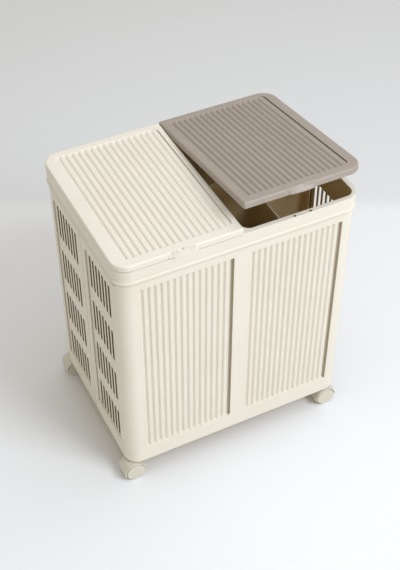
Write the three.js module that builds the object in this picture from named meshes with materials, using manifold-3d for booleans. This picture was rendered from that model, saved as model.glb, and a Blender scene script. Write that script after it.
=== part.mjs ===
import * as THREE from 'three';
import { mergeVertices } from 'three/addons/utils/BufferGeometryUtils.js';
import Module from 'manifold-3d';

const wasm = await Module();
wasm.setup();

// Laundry hamper with two bins, in millimetres, +Z up
// The origin is on the floor under the middle of the body, and the front faces -Y

// Whole object
const width = 520;
const depth = 376;
const outerCorner = 33;
const fit = 0.3;
const overrun = 12;
const roundSteps = 3;
const roundSides = 16;

// Heights above the floor
const bodyBottom = 50;
const collarBottom = 575;
const collarTop = 606;
const lidTop = 620;

// Body shells
const shellInset = 3;
const wall = 2.2;
const footLip = 10;
const shellTopDrop = 4.6;
const seamOverlap = 14;
const recessDepth = 3;

// Fluted panels of the front and the back
const stileHalf = 17.7;
const panelBottom = 91;
const panelTop = 551;
const panelFromSide = 38.8;
const fluteHeight = 2;
const fluteDrop = 0.8;
const fluteCount = 15;
const fluteMargin = 5;

// Slotted columns of the sides
const columnInner = 21.5;
const columnFromFront = 42.5;
const columnMargin = 3;
const slotWidth = 7;
const slotFromEnd = 15.8;
const slotCount = 7;
const slotRows = [[96, 172], [209, 292], [329, 412], [449, 532]];

// Collar
const collarWall = 2.6;
const collarFlange = 3;
const collarLip = 4;
const collarLipProud = 0.8;
const beamHalf = 6;
const mouthSide = 11;
const mouthFront = 11;
const mouthBack = 23;
const mouthCorner = 18;
const mouthSkirt = 2;
const mouthSkirtDrop = 40;

// Base tray
const trayFloorBottom = 57;
const trayFloor = 2.5;
const trayRim = 32.5;
const bossRadius = 8;
const bossHeight = 33.4;

// Centre partition and the divider of the right bin
const sheet = 2.5;
const guideRib = 2;
const guideDepth = 8;
const crossTop = 580;
const splitTop = 532;
const bendRadius = 26;
const endBendRadius = 16;
const bendLeg = 8;

// Lids
const lidRound = 5;
const lidCentreCorner = 6;
const fieldCentre = 14;
const fieldFromSide = 28;
const fieldFront = 21;
const fieldBack = 16;
const fieldCorner = 9;
const ribMargin = 2.2;
const ribCount = 16;
const ribHeight = 1.6;
const ribDrop = 0.6;
const tabLength = 57;
const tabReach = 5;
const tabHeight = 7;
const lidOpenAngle = THREE.MathUtils.degToRad(8.4);

// Hinges
const hingeBehind = 5.6;
const hingeRise = 2;
const barrelRadius = 5;
const hingeBore = 2.3;
const pinRadius = 2;
const knuckleLength = 14;
const lugLength = 6;
const lugFoot = 18;
const stopReach = 7.4;
const stopRise = 4;
const pinHeadRadius = 3.4;
const pinHead = 1.4;
const hingeInset = 50;

// Rim catches
const catchShift = 2;
const catchSlit = 36;
const catchSlitWidth = 3;
const catchFromFace = 4.5;
const catchLength = 31;
const catchBase = 4;

// Casters
const casterFromSide = 22.5;
const casterFromFront = 20;
const trail = 6.5;
const wheelRadius = 21;
const wheelSides = 24;
const wheelThickness = 12;
const wheelInner = 7;
const wheelEdge = 1.5;
const wheelDome = 0.6;
const axleRadius = 2.2;
const axleClearance = 0.4;
const axleBoreDepth = 9;
const hoodRadius = 25;
const hoodWall = 3.2;
const hoodHalfWidth = 18;
const hoodTailAngle = THREE.MathUtils.degToRad(195);
const webHalf = 6.4;
const stemRadius = 3.8;
const stemBottom = 30;
const stemTop = 78;
const neckRadius = 7.8;
const webSag = THREE.MathUtils.degToRad(20);

// Places that follow from the sizes above
const halfWidth = width / 2;
const halfDepth = depth / 2;
const shellHalfWidth = halfWidth - shellInset;
const shellHalfDepth = halfDepth - shellInset;
const shellCorner = outerCorner - shellInset;
const flangeBottom = collarTop - collarFlange;
const shellTop = flangeBottom - shellTopDrop;
const padDepth = recessDepth + wall;
const panelEnd = halfWidth - panelFromSide;
const flutePitch = (panelEnd - stileHalf - 2 * fluteMargin) / fluteCount;
const columnOuter = halfDepth - columnFromFront;
const slotStart = columnInner + slotFromEnd;
const slotPitch = (columnOuter - slotFromEnd - slotStart) / (slotCount - 1);
const columnBottom = slotRows.at(0).at(0) - columnMargin;
const columnTop = slotRows.at(-1).at(-1) + columnMargin;
const fieldEnd = halfWidth - fieldFromSide;
const ribPitch = (fieldEnd - fieldCentre - 2 * ribMargin) / ribCount;
const mouthSkirtBottom = collarBottom - mouthSkirtDrop;
const splitX = (beamHalf + halfWidth - mouthSide) / 2;
const trayBottom = bodyBottom + wall + fit;
const neckTop = bodyBottom + fit;
const bossBottom = neckTop + fit;
const trayRimTop = trayBottom + trayRim;
const binFloor = trayFloorBottom + trayFloor;
const lidBottom = collarTop + fit;
const wheelCentre = wheelRadius * Math.cos(Math.PI / wheelSides);
const hingeY = halfDepth + hingeBehind;
const hingeZ = collarTop + hingeRise;
const lidPlate = ribDrop + ribHeight + wall;
const lidCentreX = halfWidth / 2;
const catchX = lidCentreX - catchShift;
const casterX = halfWidth - casterFromSide;
const casterY = halfDepth - casterFromFront;

// Colours
const cream = new THREE.MeshStandardMaterial({ color: 0xece7da, roughness: 0.5, metalness: 0 });
const taupe = new THREE.MeshStandardMaterial({ color: 0xb0a69c, roughness: 0.5, metalness: 0 });
const casterIvory = new THREE.MeshStandardMaterial({ color: 0xe4dccb, roughness: 0.42, metalness: 0 });
const paleCatch = new THREE.MeshStandardMaterial({ color: 0xf2efe8, roughness: 0.4, metalness: 0 });
const steel = new THREE.MeshStandardMaterial({ color: 0xa8a9ab, roughness: 0.35, metalness: 1 });

// Solids from geometries and back

function solid(geometry) {
  const bare = geometry.clone();
  bare.deleteAttribute('normal');
  bare.deleteAttribute('uv');
  const merged = mergeVertices(bare);
  const vertProperties = Float32Array.from(merged.attributes.position.array);
  const triVerts = Uint32Array.from(merged.index.array);
  return new wasm.Manifold(new wasm.Mesh({ numProp: 3, vertProperties, triVerts }));
}

function geometryOf(body) {
  const mesh = body.getMesh();
  const geometry = new THREE.BufferGeometry();
  geometry.setAttribute('position', new THREE.BufferAttribute(mesh.vertProperties, mesh.numProp));
  geometry.setIndex(new THREE.BufferAttribute(mesh.triVerts, 1));
  const flat = geometry.toNonIndexed();
  flat.computeVertexNormals();
  return flat;
}

function joined(bodies) {
  return bodies.reduce((whole, body) => whole.add(body));
}

function without(body, cutters) {
  return cutters.reduce((rest, cutter) => rest.subtract(cutter), body);
}

function bothSides(body) {
  return body.add(body.mirror([1, 0, 0]));
}

function box(x0, x1, y0, y1, z0, z1) {
  const geometry = new THREE.BoxGeometry(x1 - x0, y1 - y0, z1 - z0);
  geometry.translate((x0 + x1) / 2, (y0 + y1) / 2, (z0 + z1) / 2);
  return solid(geometry);
}

function upright(shape, z0, z1, steps = roundSteps) {
  const options = { depth: z1 - z0, bevelEnabled: false, curveSegments: steps };
  const geometry = new THREE.ExtrudeGeometry(shape, options);
  geometry.translate(0, 0, z0);
  return solid(geometry);
}

function post(x, y, radius, z0, z1, sides = roundSides) {
  const geometry = new THREE.CylinderGeometry(radius, radius, z1 - z0, sides);
  geometry.rotateX(Math.PI / 2);
  geometry.translate(x, y, (z0 + z1) / 2);
  return solid(geometry);
}

function rodX(y, z, radius, x0, x1, sides = roundSides) {
  const geometry = new THREE.CylinderGeometry(radius, radius, x1 - x0, sides);
  geometry.rotateZ(Math.PI / 2);
  geometry.translate((x0 + x1) / 2, y, z);
  return solid(geometry);
}

function rodY(x, z, radius, y0, y1, sides = roundSides) {
  const geometry = new THREE.CylinderGeometry(radius, radius, y1 - y0, sides);
  geometry.translate(x, (y0 + y1) / 2, z);
  return solid(geometry);
}

// Outlines

function roundedOutline(x0, x1, y0, y1, radius) {
  const quarter = Math.PI / 2;
  const shape = new THREE.Shape();
  shape.absarc(x1 - radius, y0 + radius, radius, -quarter, 0);
  shape.absarc(x1 - radius, y1 - radius, radius, 0, quarter);
  shape.absarc(x0 + radius, y1 - radius, radius, quarter, Math.PI);
  shape.absarc(x0 + radius, y0 + radius, radius, Math.PI, Math.PI + quarter);
  shape.closePath();
  return shape;
}

function centredOutline(halfX, halfY, radius) {
  return roundedOutline(-halfX, halfX, -halfY, halfY, radius);
}

function lidOutline(inset) {
  const quarter = Math.PI / 2;
  const x0 = fit + inset;
  const x1 = halfWidth - inset;
  const y1 = halfDepth - inset;
  const inner = Math.max(lidCentreCorner - inset, fit);
  const outer = outerCorner - inset;
  const shape = new THREE.Shape();
  shape.absarc(x1 - outer, outer - y1, outer, -quarter, 0);
  shape.absarc(x1 - outer, y1 - outer, outer, 0, quarter);
  shape.absarc(x0 + inner, y1 - inner, inner, quarter, Math.PI);
  shape.absarc(x0 + inner, inner - y1, inner, Math.PI, Math.PI + quarter);
  shape.closePath();
  return shape;
}

// A row of rounded flutes between two margins: u runs along the row, v goes into the wall from its face
function fluteOutline(start, margin, count, pitch, height, drop) {
  const radius = (pitch ** 2 / 4 + height ** 2) / (2 * height);
  const spread = Math.asin(pitch / 2 / radius);
  const top = -Math.PI / 2;
  const floor = drop + height;
  const end = start + 2 * margin + count * pitch;
  const shape = new THREE.Shape();
  shape.moveTo(start, -overrun);
  shape.lineTo(start, floor);
  for (let k = 0; k < count; k += 1) {
    const centre = start + margin + (k + 1 / 2) * pitch;
    shape.absarc(centre, drop + radius, radius, top - spread, top + spread);
  }
  shape.lineTo(end, floor);
  shape.lineTo(end, -overrun);
  shape.closePath();
  return shape;
}

// Body shells: the front one is built, and the back one is the same moulding turned round

function panelPocket() {
  const flutes = fluteOutline(stileHalf, fluteMargin, fluteCount, flutePitch, fluteHeight, fluteDrop);
  const right = upright(flutes, panelBottom, panelTop, 2).translate([0, -shellHalfDepth, 0]);
  return bothSides(right);
}

function slotOutline(z0, z1) {
  const half = slotWidth / 2;
  const cut = slotWidth / 4;
  const shape = new THREE.Shape();
  shape.moveTo(-half, z0 + cut);
  shape.lineTo(-half + cut, z0);
  shape.lineTo(half - cut, z0);
  shape.lineTo(half, z0 + cut);
  shape.lineTo(half, z1 - cut);
  shape.lineTo(half - cut, z1);
  shape.lineTo(-half + cut, z1);
  shape.lineTo(-half, z1 - cut);
  shape.closePath();
  return shape;
}

function slotCutters() {
  const cutters = [];
  const reach = width + overrun;
  for (const [z0, z1] of slotRows) {
    const geometry = new THREE.ExtrudeGeometry(slotOutline(z0, z1), { depth: reach, bevelEnabled: false });
    geometry.rotateX(Math.PI / 2);
    geometry.rotateZ(Math.PI / 2);
    geometry.translate(-reach / 2, 0, 0);
    const slot = solid(geometry);
    for (let k = 0; k < slotCount; k += 1) {
      cutters.push(slot.translate([0, -slotStart - k * slotPitch, 0]));
    }
  }
  return cutters;
}

function shellWalls() {
  const outer = upright(centredOutline(shellHalfWidth, shellHalfDepth, shellCorner), bodyBottom, shellTop);
  const innerOutline = centredOutline(shellHalfWidth - wall, shellHalfDepth - wall, shellCorner - wall);
  const lipOutline = centredOutline(
    shellHalfWidth - footLip,
    shellHalfDepth - footLip,
    shellCorner - footLip,
  );
  const inner = upright(innerOutline, bodyBottom + wall, shellTop + overrun);
  const foot = upright(lipOutline, bodyBottom - overrun, bodyBottom + overrun);
  return without(outer, [inner, foot]);
}

function frontPads() {
  const y1 = padDepth - shellHalfDepth;
  const y0 = y1 - recessDepth - wall / 2;
  const z0 = panelBottom - wall;
  const z1 = panelTop + wall;
  const right = box(stileHalf - wall, panelEnd + wall, y0, y1, z0, z1);
  return bothSides(right);
}

function sidePads() {
  const x0 = shellHalfWidth - padDepth;
  const x1 = x0 + recessDepth + wall / 2;
  const y0 = -columnOuter - wall;
  const y1 = wall - columnInner;
  const right = box(x0, x1, y0, y1, columnBottom - wall, columnTop + wall);
  return bothSides(right);
}

function columnPockets() {
  const x0 = shellHalfWidth - recessDepth;
  const right = box(x0, x0 + overrun, -columnOuter, -columnInner, columnBottom, columnTop);
  return bothSides(right);
}

function guideRibs() {
  const x0 = sheet / 2 + fit;
  const y0 = wall / 2 - shellHalfDepth;
  const y1 = wall - shellHalfDepth + guideDepth;
  const z0 = trayRimTop + fit;
  const right = box(x0, x0 + guideRib, y0, y1, z0, mouthSkirtBottom);
  return bothSides(right);
}

function seamTongue() {
  const x1 = shellHalfWidth - wall;
  const x0 = x1 - wall - fit;
  const z0 = columnBottom;
  const root = box(x0, x1 + wall / 2, -seamOverlap, -fit / 2, z0, columnTop);
  const lap = box(x0, x1 - fit, -seamOverlap, seamOverlap, z0, columnTop);
  return root.add(lap);
}

function bossClearances() {
  const radius = bossRadius + fit;
  const cutters = [];
  for (const x of [-casterX, casterX]) {
    cutters.push(post(x, -casterY, radius, bodyBottom - overrun, bodyBottom + overrun));
  }
  return cutters;
}

function frontShell() {
  const half = box(-width, width, -fit / 2, depth, -overrun, lidTop);
  const walls = shellWalls().subtract(half);
  const whole = joined([walls, frontPads(), sidePads(), guideRibs()]);
  const cut = without(whole, [panelPocket(), columnPockets(), ...slotCutters(), ...bossClearances()]);
  return geometryOf(cut.add(seamTongue()));
}

// Base tray

function baseTray() {
  const side = wall + fit + fit / 3;
  const halfX = shellHalfWidth - side;
  const halfY = shellHalfDepth - side;
  const corner = shellCorner - side;
  const outer = upright(centredOutline(halfX, halfY, corner), trayBottom, trayRimTop);
  const insideOutline = centredOutline(halfX - wall, halfY - wall, corner - wall);
  const above = upright(insideOutline, binFloor, trayRimTop + overrun);
  const below = upright(insideOutline, trayBottom - overrun, trayFloorBottom);
  let tray = without(outer, [above, below]);
  const bossTop = bossBottom + bossHeight;
  const bore = stemRadius + fit;
  for (const x of [-casterX, casterX]) {
    for (const y of [-casterY, casterY]) {
      tray = tray.add(post(x, y, bossRadius, bossBottom, bossTop));
      tray = tray.subtract(post(x, y, bore, bossBottom - overrun, stemTop + fit));
    }
  }
  return geometryOf(tray);
}

// Collar

function mouthOutline(grow) {
  const x0 = beamHalf - grow;
  const x1 = halfWidth - mouthSide + grow;
  const y0 = mouthFront - halfDepth - grow;
  const y1 = halfDepth - mouthBack + grow;
  return roundedOutline(x0, x1, y0, y1, mouthCorner + grow);
}

function lugPair(x) {
  const rearY = hingeY + stopReach;
  const stopTop = hingeZ + stopRise;
  const wallY = halfDepth - collarWall / 2;
  const shape = new THREE.Shape();
  shape.moveTo(wallY, hingeZ - lugFoot);
  shape.lineTo(rearY, hingeZ - stopRise);
  shape.lineTo(rearY, stopTop);
  shape.lineTo(hingeY, hingeZ + barrelRadius);
  shape.absarc(hingeY, hingeZ, barrelRadius, Math.PI / 2, Math.PI);
  shape.lineTo(hingeY - barrelRadius, collarTop - fit);
  shape.lineTo(wallY, collarTop - fit);
  shape.closePath();
  const options = { depth: lugLength, bevelEnabled: false, curveSegments: roundSteps };
  const geometry = new THREE.ExtrudeGeometry(shape, options);
  geometry.rotateX(Math.PI / 2);
  geometry.rotateZ(Math.PI / 2);
  const lug = solid(geometry);
  const near = x + knuckleLength / 2 + fit;
  const far = x - knuckleLength / 2 - fit - lugLength;
  return lug.translate([near, 0, 0]).add(lug.translate([far, 0, 0]));
}

function hingePlaces(side) {
  return [side * hingeInset, side * (halfWidth - hingeInset)];
}

function collarFrame() {
  const proud = collarLipProud;
  const outer = upright(centredOutline(halfWidth, halfDepth, outerCorner), collarBottom, collarTop);
  const lipOutline = centredOutline(halfWidth + proud, halfDepth + proud, outerCorner + proud);
  const lip = upright(lipOutline, collarBottom, collarBottom + collarLip);
  const insideHalfX = halfWidth - collarWall;
  const insideHalfY = halfDepth - collarWall;
  const insideOutline = centredOutline(insideHalfX, insideHalfY, outerCorner - collarWall);
  const inside = upright(insideOutline, collarBottom - overrun, flangeBottom);
  return outer.add(lip).subtract(inside);
}

function catchSlits() {
  const y = catchFromFace - halfDepth;
  const halfLength = catchSlit / 2;
  const halfAcross = catchSlitWidth / 2;
  const x0 = catchX - halfLength;
  const x1 = catchX + halfLength;
  return bothSides(box(x0, x1, y - halfAcross, y + halfAcross, flangeBottom - fit, collarTop + overrun));
}

function collar() {
  const skirts = bothSides(upright(mouthOutline(mouthSkirt), mouthSkirtBottom, flangeBottom + fit));
  const mouths = bothSides(upright(mouthOutline(0), mouthSkirtBottom - overrun, collarTop + overrun));
  const reach = knuckleLength + lugLength;
  let body = without(collarFrame().add(skirts), [mouths, catchSlits()]);
  for (const x of [...hingePlaces(-1), ...hingePlaces(1)]) {
    body = body.add(lugPair(x)).subtract(rodX(hingeY, hingeZ, hingeBore, x - reach, x + reach));
  }
  return geometryOf(body);
}

// Pale strip held in the slit of the front rim, wider below the rim than in it
function rimCatch() {
  const stripHalf = catchLength / 2;
  const stripHalfWidth = catchSlitWidth / 2 - fit;
  const baseHalf = catchSlit / 2 + stripHalfWidth;
  const baseTop = flangeBottom - fit;
  const stripTop = collarTop - fit;
  const strip = box(-stripHalf, stripHalf, -stripHalfWidth, stripHalfWidth, baseTop - fit, stripTop);
  const base = box(-baseHalf, baseHalf, -stripHalfWidth, stripHalfWidth + wall, baseTop - catchBase, baseTop);
  return geometryOf(strip.add(base));
}

// Centre partition

function partition() {
  const halfY = shellHalfDepth - padDepth - fit / 3;
  return geometryOf(box(-sheet / 2, sheet / 2, -halfY, halfY, binFloor + fit, flangeBottom - fit));
}

// Divider of the right bin: a cross wall with bent ends and a lower wall towards the front

function crossWall(z0) {
  const quarter = Math.PI / 2;
  const x0 = beamHalf + fit;
  const x1 = halfWidth - mouthSide - fit;
  const y1 = sheet / 2;
  const left = bendRadius;
  const right = endBendRadius;
  const shape = new THREE.Shape();
  shape.moveTo(x0, y1 - left - bendLeg);
  shape.lineTo(x0 + sheet, y1 - left - bendLeg);
  shape.absarc(x0 + left, y1 - left, left - sheet, Math.PI, quarter, true);
  shape.absarc(x1 - right, y1 - right, right - sheet, quarter, 0, true);
  shape.lineTo(x1 - sheet, y1 - right - bendLeg);
  shape.lineTo(x1, y1 - right - bendLeg);
  shape.absarc(x1 - right, y1 - right, right, 0, quarter);
  shape.absarc(x0 + left, y1 - left, left, quarter, Math.PI);
  shape.closePath();
  return upright(shape, z0, crossTop);
}

function junctionBend(z0) {
  const quarter = Math.PI / 2;
  const cx = splitX + sheet / 2 + bendRadius;
  const cy = -sheet / 2 - bendRadius;
  const shape = new THREE.Shape();
  shape.absarc(cx, cy, bendRadius + sheet, quarter, Math.PI);
  shape.absarc(cx, cy, bendRadius, Math.PI, quarter, true);
  shape.closePath();
  const right = upright(shape, z0, splitTop);
  const left = right.mirror([1, 0, 0]).translate([2 * splitX, 0, 0]);
  return right.add(left);
}

function divider() {
  const z0 = binFloor + fit;
  const front = mouthFront - halfDepth + fit;
  const bendStart = -bendRadius - sheet / 2;
  const split = box(splitX - sheet / 2, splitX + sheet / 2, front, bendStart + fit, z0, splitTop);
  return geometryOf(joined([crossWall(z0), junctionBend(z0), split]));
}

// Lids: the right one is built in its closed place, and the left one mirrors it

function lidShell() {
  const cap = lidTop - lidBottom;
  const options = {
    depth: cap,
    bevelEnabled: true,
    bevelThickness: lidRound,
    bevelSize: lidRound,
    bevelOffset: -lidRound,
    bevelSegments: roundSteps,
    curveSegments: roundSteps,
  };
  const geometry = new THREE.ExtrudeGeometry(lidOutline(0), options);
  geometry.translate(0, 0, lidTop - lidRound - cap);
  const below = box(-overrun, width, -depth, depth, bodyBottom, lidBottom);
  const hollow = upright(lidOutline(wall), lidBottom - overrun, lidTop - lidPlate);
  return without(solid(geometry), [below, hollow]);
}

function ribField() {
  const y0 = fieldFront - halfDepth;
  const y1 = halfDepth - fieldBack;
  const plan = upright(roundedOutline(fieldCentre, fieldEnd, y0, y1, fieldCorner), lidBottom, lidTop + overrun);
  const ribs = fluteOutline(fieldCentre, ribMargin, ribCount, ribPitch, ribHeight, ribDrop);
  const geometry = new THREE.ExtrudeGeometry(ribs, { depth, bevelEnabled: false, curveSegments: 2 });
  geometry.rotateX(-Math.PI / 2);
  geometry.translate(0, -halfDepth, lidTop);
  return plan.intersect(solid(geometry));
}

function fingerTab() {
  const radius = (tabLength ** 2 / 4 + tabReach ** 2) / (2 * tabReach);
  const spread = Math.asin(tabLength / 2 / radius);
  const centreY = radius - tabReach - halfDepth;
  const start = -Math.PI / 2;
  const shape = new THREE.Shape();
  shape.absarc(lidCentreX, centreY, radius, start - spread, start + spread);
  shape.lineTo(lidCentreX + tabLength / 2, wall / 2 - halfDepth);
  shape.lineTo(lidCentreX - tabLength / 2, wall / 2 - halfDepth);
  shape.closePath();
  return upright(shape, lidBottom, lidBottom + tabHeight, roundSteps * 2);
}

function knuckle(x) {
  const x0 = x - knuckleLength / 2;
  const x1 = x + knuckleLength / 2;
  const barrel = rodX(hingeY, hingeZ, barrelRadius, x0, x1);
  const arm = box(x0, x1, halfDepth - wall / 2, hingeY, hingeZ, hingeZ + barrelRadius);
  return barrel.add(arm);
}

function lidBody(side) {
  let body = lidShell().subtract(ribField()).add(fingerTab());
  for (const x of hingePlaces(1)) {
    const bore = rodX(hingeY, hingeZ, hingeBore, x - knuckleLength, x + knuckleLength);
    body = body.add(knuckle(x)).subtract(bore);
  }
  const sided = side > 0 ? body : body.mirror([1, 0, 0]);
  return geometryOf(sided.translate([0, -hingeY, -hingeZ]));
}

// Hinge pin with a low head at one end
function hingePin() {
  const half = knuckleLength / 2 + fit + lugLength + fit;
  const profile = [
    new THREE.Vector2(0, -half),
    new THREE.Vector2(pinRadius, -half),
    new THREE.Vector2(pinRadius, half),
    new THREE.Vector2(pinHeadRadius, half),
    new THREE.Vector2(pinHeadRadius, half + pinHead),
    new THREE.Vector2(0, half + pinHead),
  ];
  const geometry = new THREE.LatheGeometry(profile, 12);
  geometry.rotateZ(Math.PI / 2);
  return geometryOf(solid(geometry));
}

// Casters: each is built about its stem, and its wheels trail behind

function alongY(shape, halfLength) {
  const options = { depth: halfLength * 2, bevelEnabled: false, curveSegments: roundSteps * 2 };
  const geometry = new THREE.ExtrudeGeometry(shape, options);
  geometry.rotateX(Math.PI / 2);
  geometry.translate(0, halfLength, 0);
  return solid(geometry);
}

function hood() {
  const shape = new THREE.Shape();
  shape.absarc(-trail, wheelCentre, hoodRadius, 0, hoodTailAngle);
  shape.absarc(-trail, wheelCentre, hoodRadius - hoodWall, hoodTailAngle, 0, true);
  shape.closePath();
  return alongY(shape, hoodHalfWidth);
}

function web() {
  const shape = new THREE.Shape();
  const radius = hoodRadius - hoodWall / 2;
  shape.absarc(-trail, wheelCentre, radius, -webSag, Math.PI + webSag);
  shape.closePath();
  return alongY(shape, webHalf);
}

function casterHousing() {
  const neck = post(0, 0, neckRadius, stemBottom, neckTop);
  const space = hoodRadius - hoodWall;
  const outside = hoodHalfWidth + overrun;
  const spaces = [
    rodY(-trail, wheelCentre, space, webHalf, outside, wheelSides),
    rodY(-trail, wheelCentre, space, -outside, -webHalf, wheelSides),
  ];
  const stemBore = post(0, 0, stemRadius + fit, stemBottom - fit, neckTop + overrun);
  const axleBore = rodY(-trail, wheelCentre, axleRadius + fit, -outside, outside);
  const body = without(hood().add(neck), spaces).add(web());
  return geometryOf(without(body, [stemBore, axleBore]));
}

function casterStem() {
  return geometryOf(post(0, 0, stemRadius, stemBottom, stemTop));
}

function casterAxle() {
  const half = wheelInner + axleBoreDepth - fit;
  return geometryOf(rodY(0, 0, axleRadius, -half, half));
}

function casterWheel() {
  const bore = axleRadius + axleClearance;
  const rim = wheelRadius - wheelEdge;
  const profile = [
    new THREE.Vector2(0, axleBoreDepth),
    new THREE.Vector2(bore, axleBoreDepth),
    new THREE.Vector2(bore, 0),
    new THREE.Vector2(rim, 0),
    new THREE.Vector2(wheelRadius, wheelEdge),
    new THREE.Vector2(wheelRadius, wheelThickness - wheelEdge - wheelDome),
    new THREE.Vector2(rim, wheelThickness - wheelDome),
    new THREE.Vector2(0, wheelThickness),
  ];
  return geometryOf(solid(new THREE.LatheGeometry(profile, wheelSides, Math.PI / wheelSides)));
}

// Assembly

function piece(name, geometry, material) {
  const mesh = new THREE.Mesh(geometry, material);
  mesh.name = name;
  return mesh;
}

function bodyGroup() {
  const group = new THREE.Group();
  const shell = frontShell();
  const back = piece('shell_back', shell, cream);
  back.rotation.z = Math.PI;
  group.add(piece('base_tray', baseTray(), cream));
  group.add(piece('shell_front', shell, cream));
  group.add(back);
  group.add(piece('collar', collar(), cream));
  group.add(piece('centre_partition', partition(), cream));
  group.add(piece('right_bin_divider', divider(), cream));
  return group;
}

function catchGroup() {
  const group = new THREE.Group();
  const geometry = rimCatch();
  for (const [name, side] of [['rim_catch_left', -1], ['rim_catch_right', 1]]) {
    const clip = piece(name, geometry, paleCatch);
    clip.position.set(side * catchX, catchFromFace - halfDepth, 0);
    group.add(clip);
  }
  return group;
}

function pinGroup() {
  const group = new THREE.Group();
  const geometry = hingePin();
  for (const [name, side] of [['left', -1], ['right', 1]]) {
    hingePlaces(side).forEach((x, index) => {
      const pin = piece(`hinge_pin_${name}_${index + 1}`, geometry, steel);
      pin.position.set(x, hingeY, hingeZ);
      group.add(pin);
    });
  }
  return group;
}

function lidGroup(name, side, material, openAngle) {
  const group = new THREE.Group();
  group.position.set(0, hingeY, hingeZ);
  group.rotation.x = -openAngle;
  group.add(piece(name, lidBody(side), material));
  return group;
}

function casterGroup(name, x, y, shared) {
  const group = new THREE.Group();
  group.position.set(x, y, 0);
  group.add(piece(`caster_housing_${name}`, shared.housing, casterIvory));
  group.add(piece(`caster_stem_${name}`, shared.stem, steel));
  const axle = piece(`caster_axle_${name}`, shared.axle, steel);
  axle.position.set(-trail, 0, wheelCentre);
  group.add(axle);
  const near = piece(`caster_wheel_${name}_1`, shared.wheel, casterIvory);
  near.position.set(-trail, -wheelInner, wheelCentre);
  near.rotation.z = Math.PI;
  const far = piece(`caster_wheel_${name}_2`, shared.wheel, casterIvory);
  far.position.set(-trail, wheelInner, wheelCentre);
  group.add(near, far);
  return group;
}

function casters() {
  const group = new THREE.Group();
  const shared = {
    housing: casterHousing(),
    stem: casterStem(),
    axle: casterAxle(),
    wheel: casterWheel(),
  };
  group.add(casterGroup('front_left', -casterX, -casterY, shared));
  group.add(casterGroup('front_right', casterX, -casterY, shared));
  group.add(casterGroup('back_left', -casterX, casterY, shared));
  group.add(casterGroup('back_right', casterX, casterY, shared));
  return group;
}

const hamper = new THREE.Group();
hamper.add(bodyGroup());
hamper.add(catchGroup());
hamper.add(pinGroup());
hamper.add(lidGroup('lid_left', -1, cream, 0));
hamper.add(lidGroup('lid_right', 1, taupe, lidOpenAngle));
hamper.add(casters());

export default hamper;
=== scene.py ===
"""Laundry hamper with two bins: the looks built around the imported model.

Sizes are in millimetres and become metres as each mesh is made. +Z is up and the front faces -Y.
"""

from __future__ import annotations

import logging
import math
from dataclasses import dataclass, field
from enum import Enum
from typing import Callable, Iterable, Sequence

import bmesh
import bpy
from mathutils import Matrix, Vector


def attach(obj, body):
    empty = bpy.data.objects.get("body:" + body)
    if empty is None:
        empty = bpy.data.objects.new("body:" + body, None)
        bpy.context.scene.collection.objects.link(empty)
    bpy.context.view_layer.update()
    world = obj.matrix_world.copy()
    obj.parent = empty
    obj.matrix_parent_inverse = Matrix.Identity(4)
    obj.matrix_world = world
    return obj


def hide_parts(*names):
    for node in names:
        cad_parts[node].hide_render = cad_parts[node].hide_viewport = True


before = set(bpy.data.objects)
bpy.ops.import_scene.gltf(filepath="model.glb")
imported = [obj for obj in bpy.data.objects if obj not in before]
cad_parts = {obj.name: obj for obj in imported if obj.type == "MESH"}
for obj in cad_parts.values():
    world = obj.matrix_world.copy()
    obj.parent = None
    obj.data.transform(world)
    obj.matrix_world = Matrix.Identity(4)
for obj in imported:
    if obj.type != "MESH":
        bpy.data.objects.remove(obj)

LOG = logging.getLogger("hamper")
MM = 0.001
FIT = 0.3
POLE = 0.0005
SAME_SPOT = 2e-6
SIDE_STEP = 0.01
CORNER_CHORDS = 10
Flat = tuple[float, float]
Spot = tuple[float, float, float]
Socket = bpy.types.NodeSocket


class Named(Enum):
    """An option whose name goes into the names of pieces."""

    @property
    def label(self) -> str:
        """The name in small letters."""
        return self.name.lower()


class Side(Named):
    """Which of the two bins a lid or a catch belongs to."""

    LEFT = -1
    RIGHT = 1


class End(Named):
    """Which half of the body a shell closes, by its turn about the upright axis in degrees."""

    FRONT = 0
    BACK = 180


# Node trees


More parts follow.
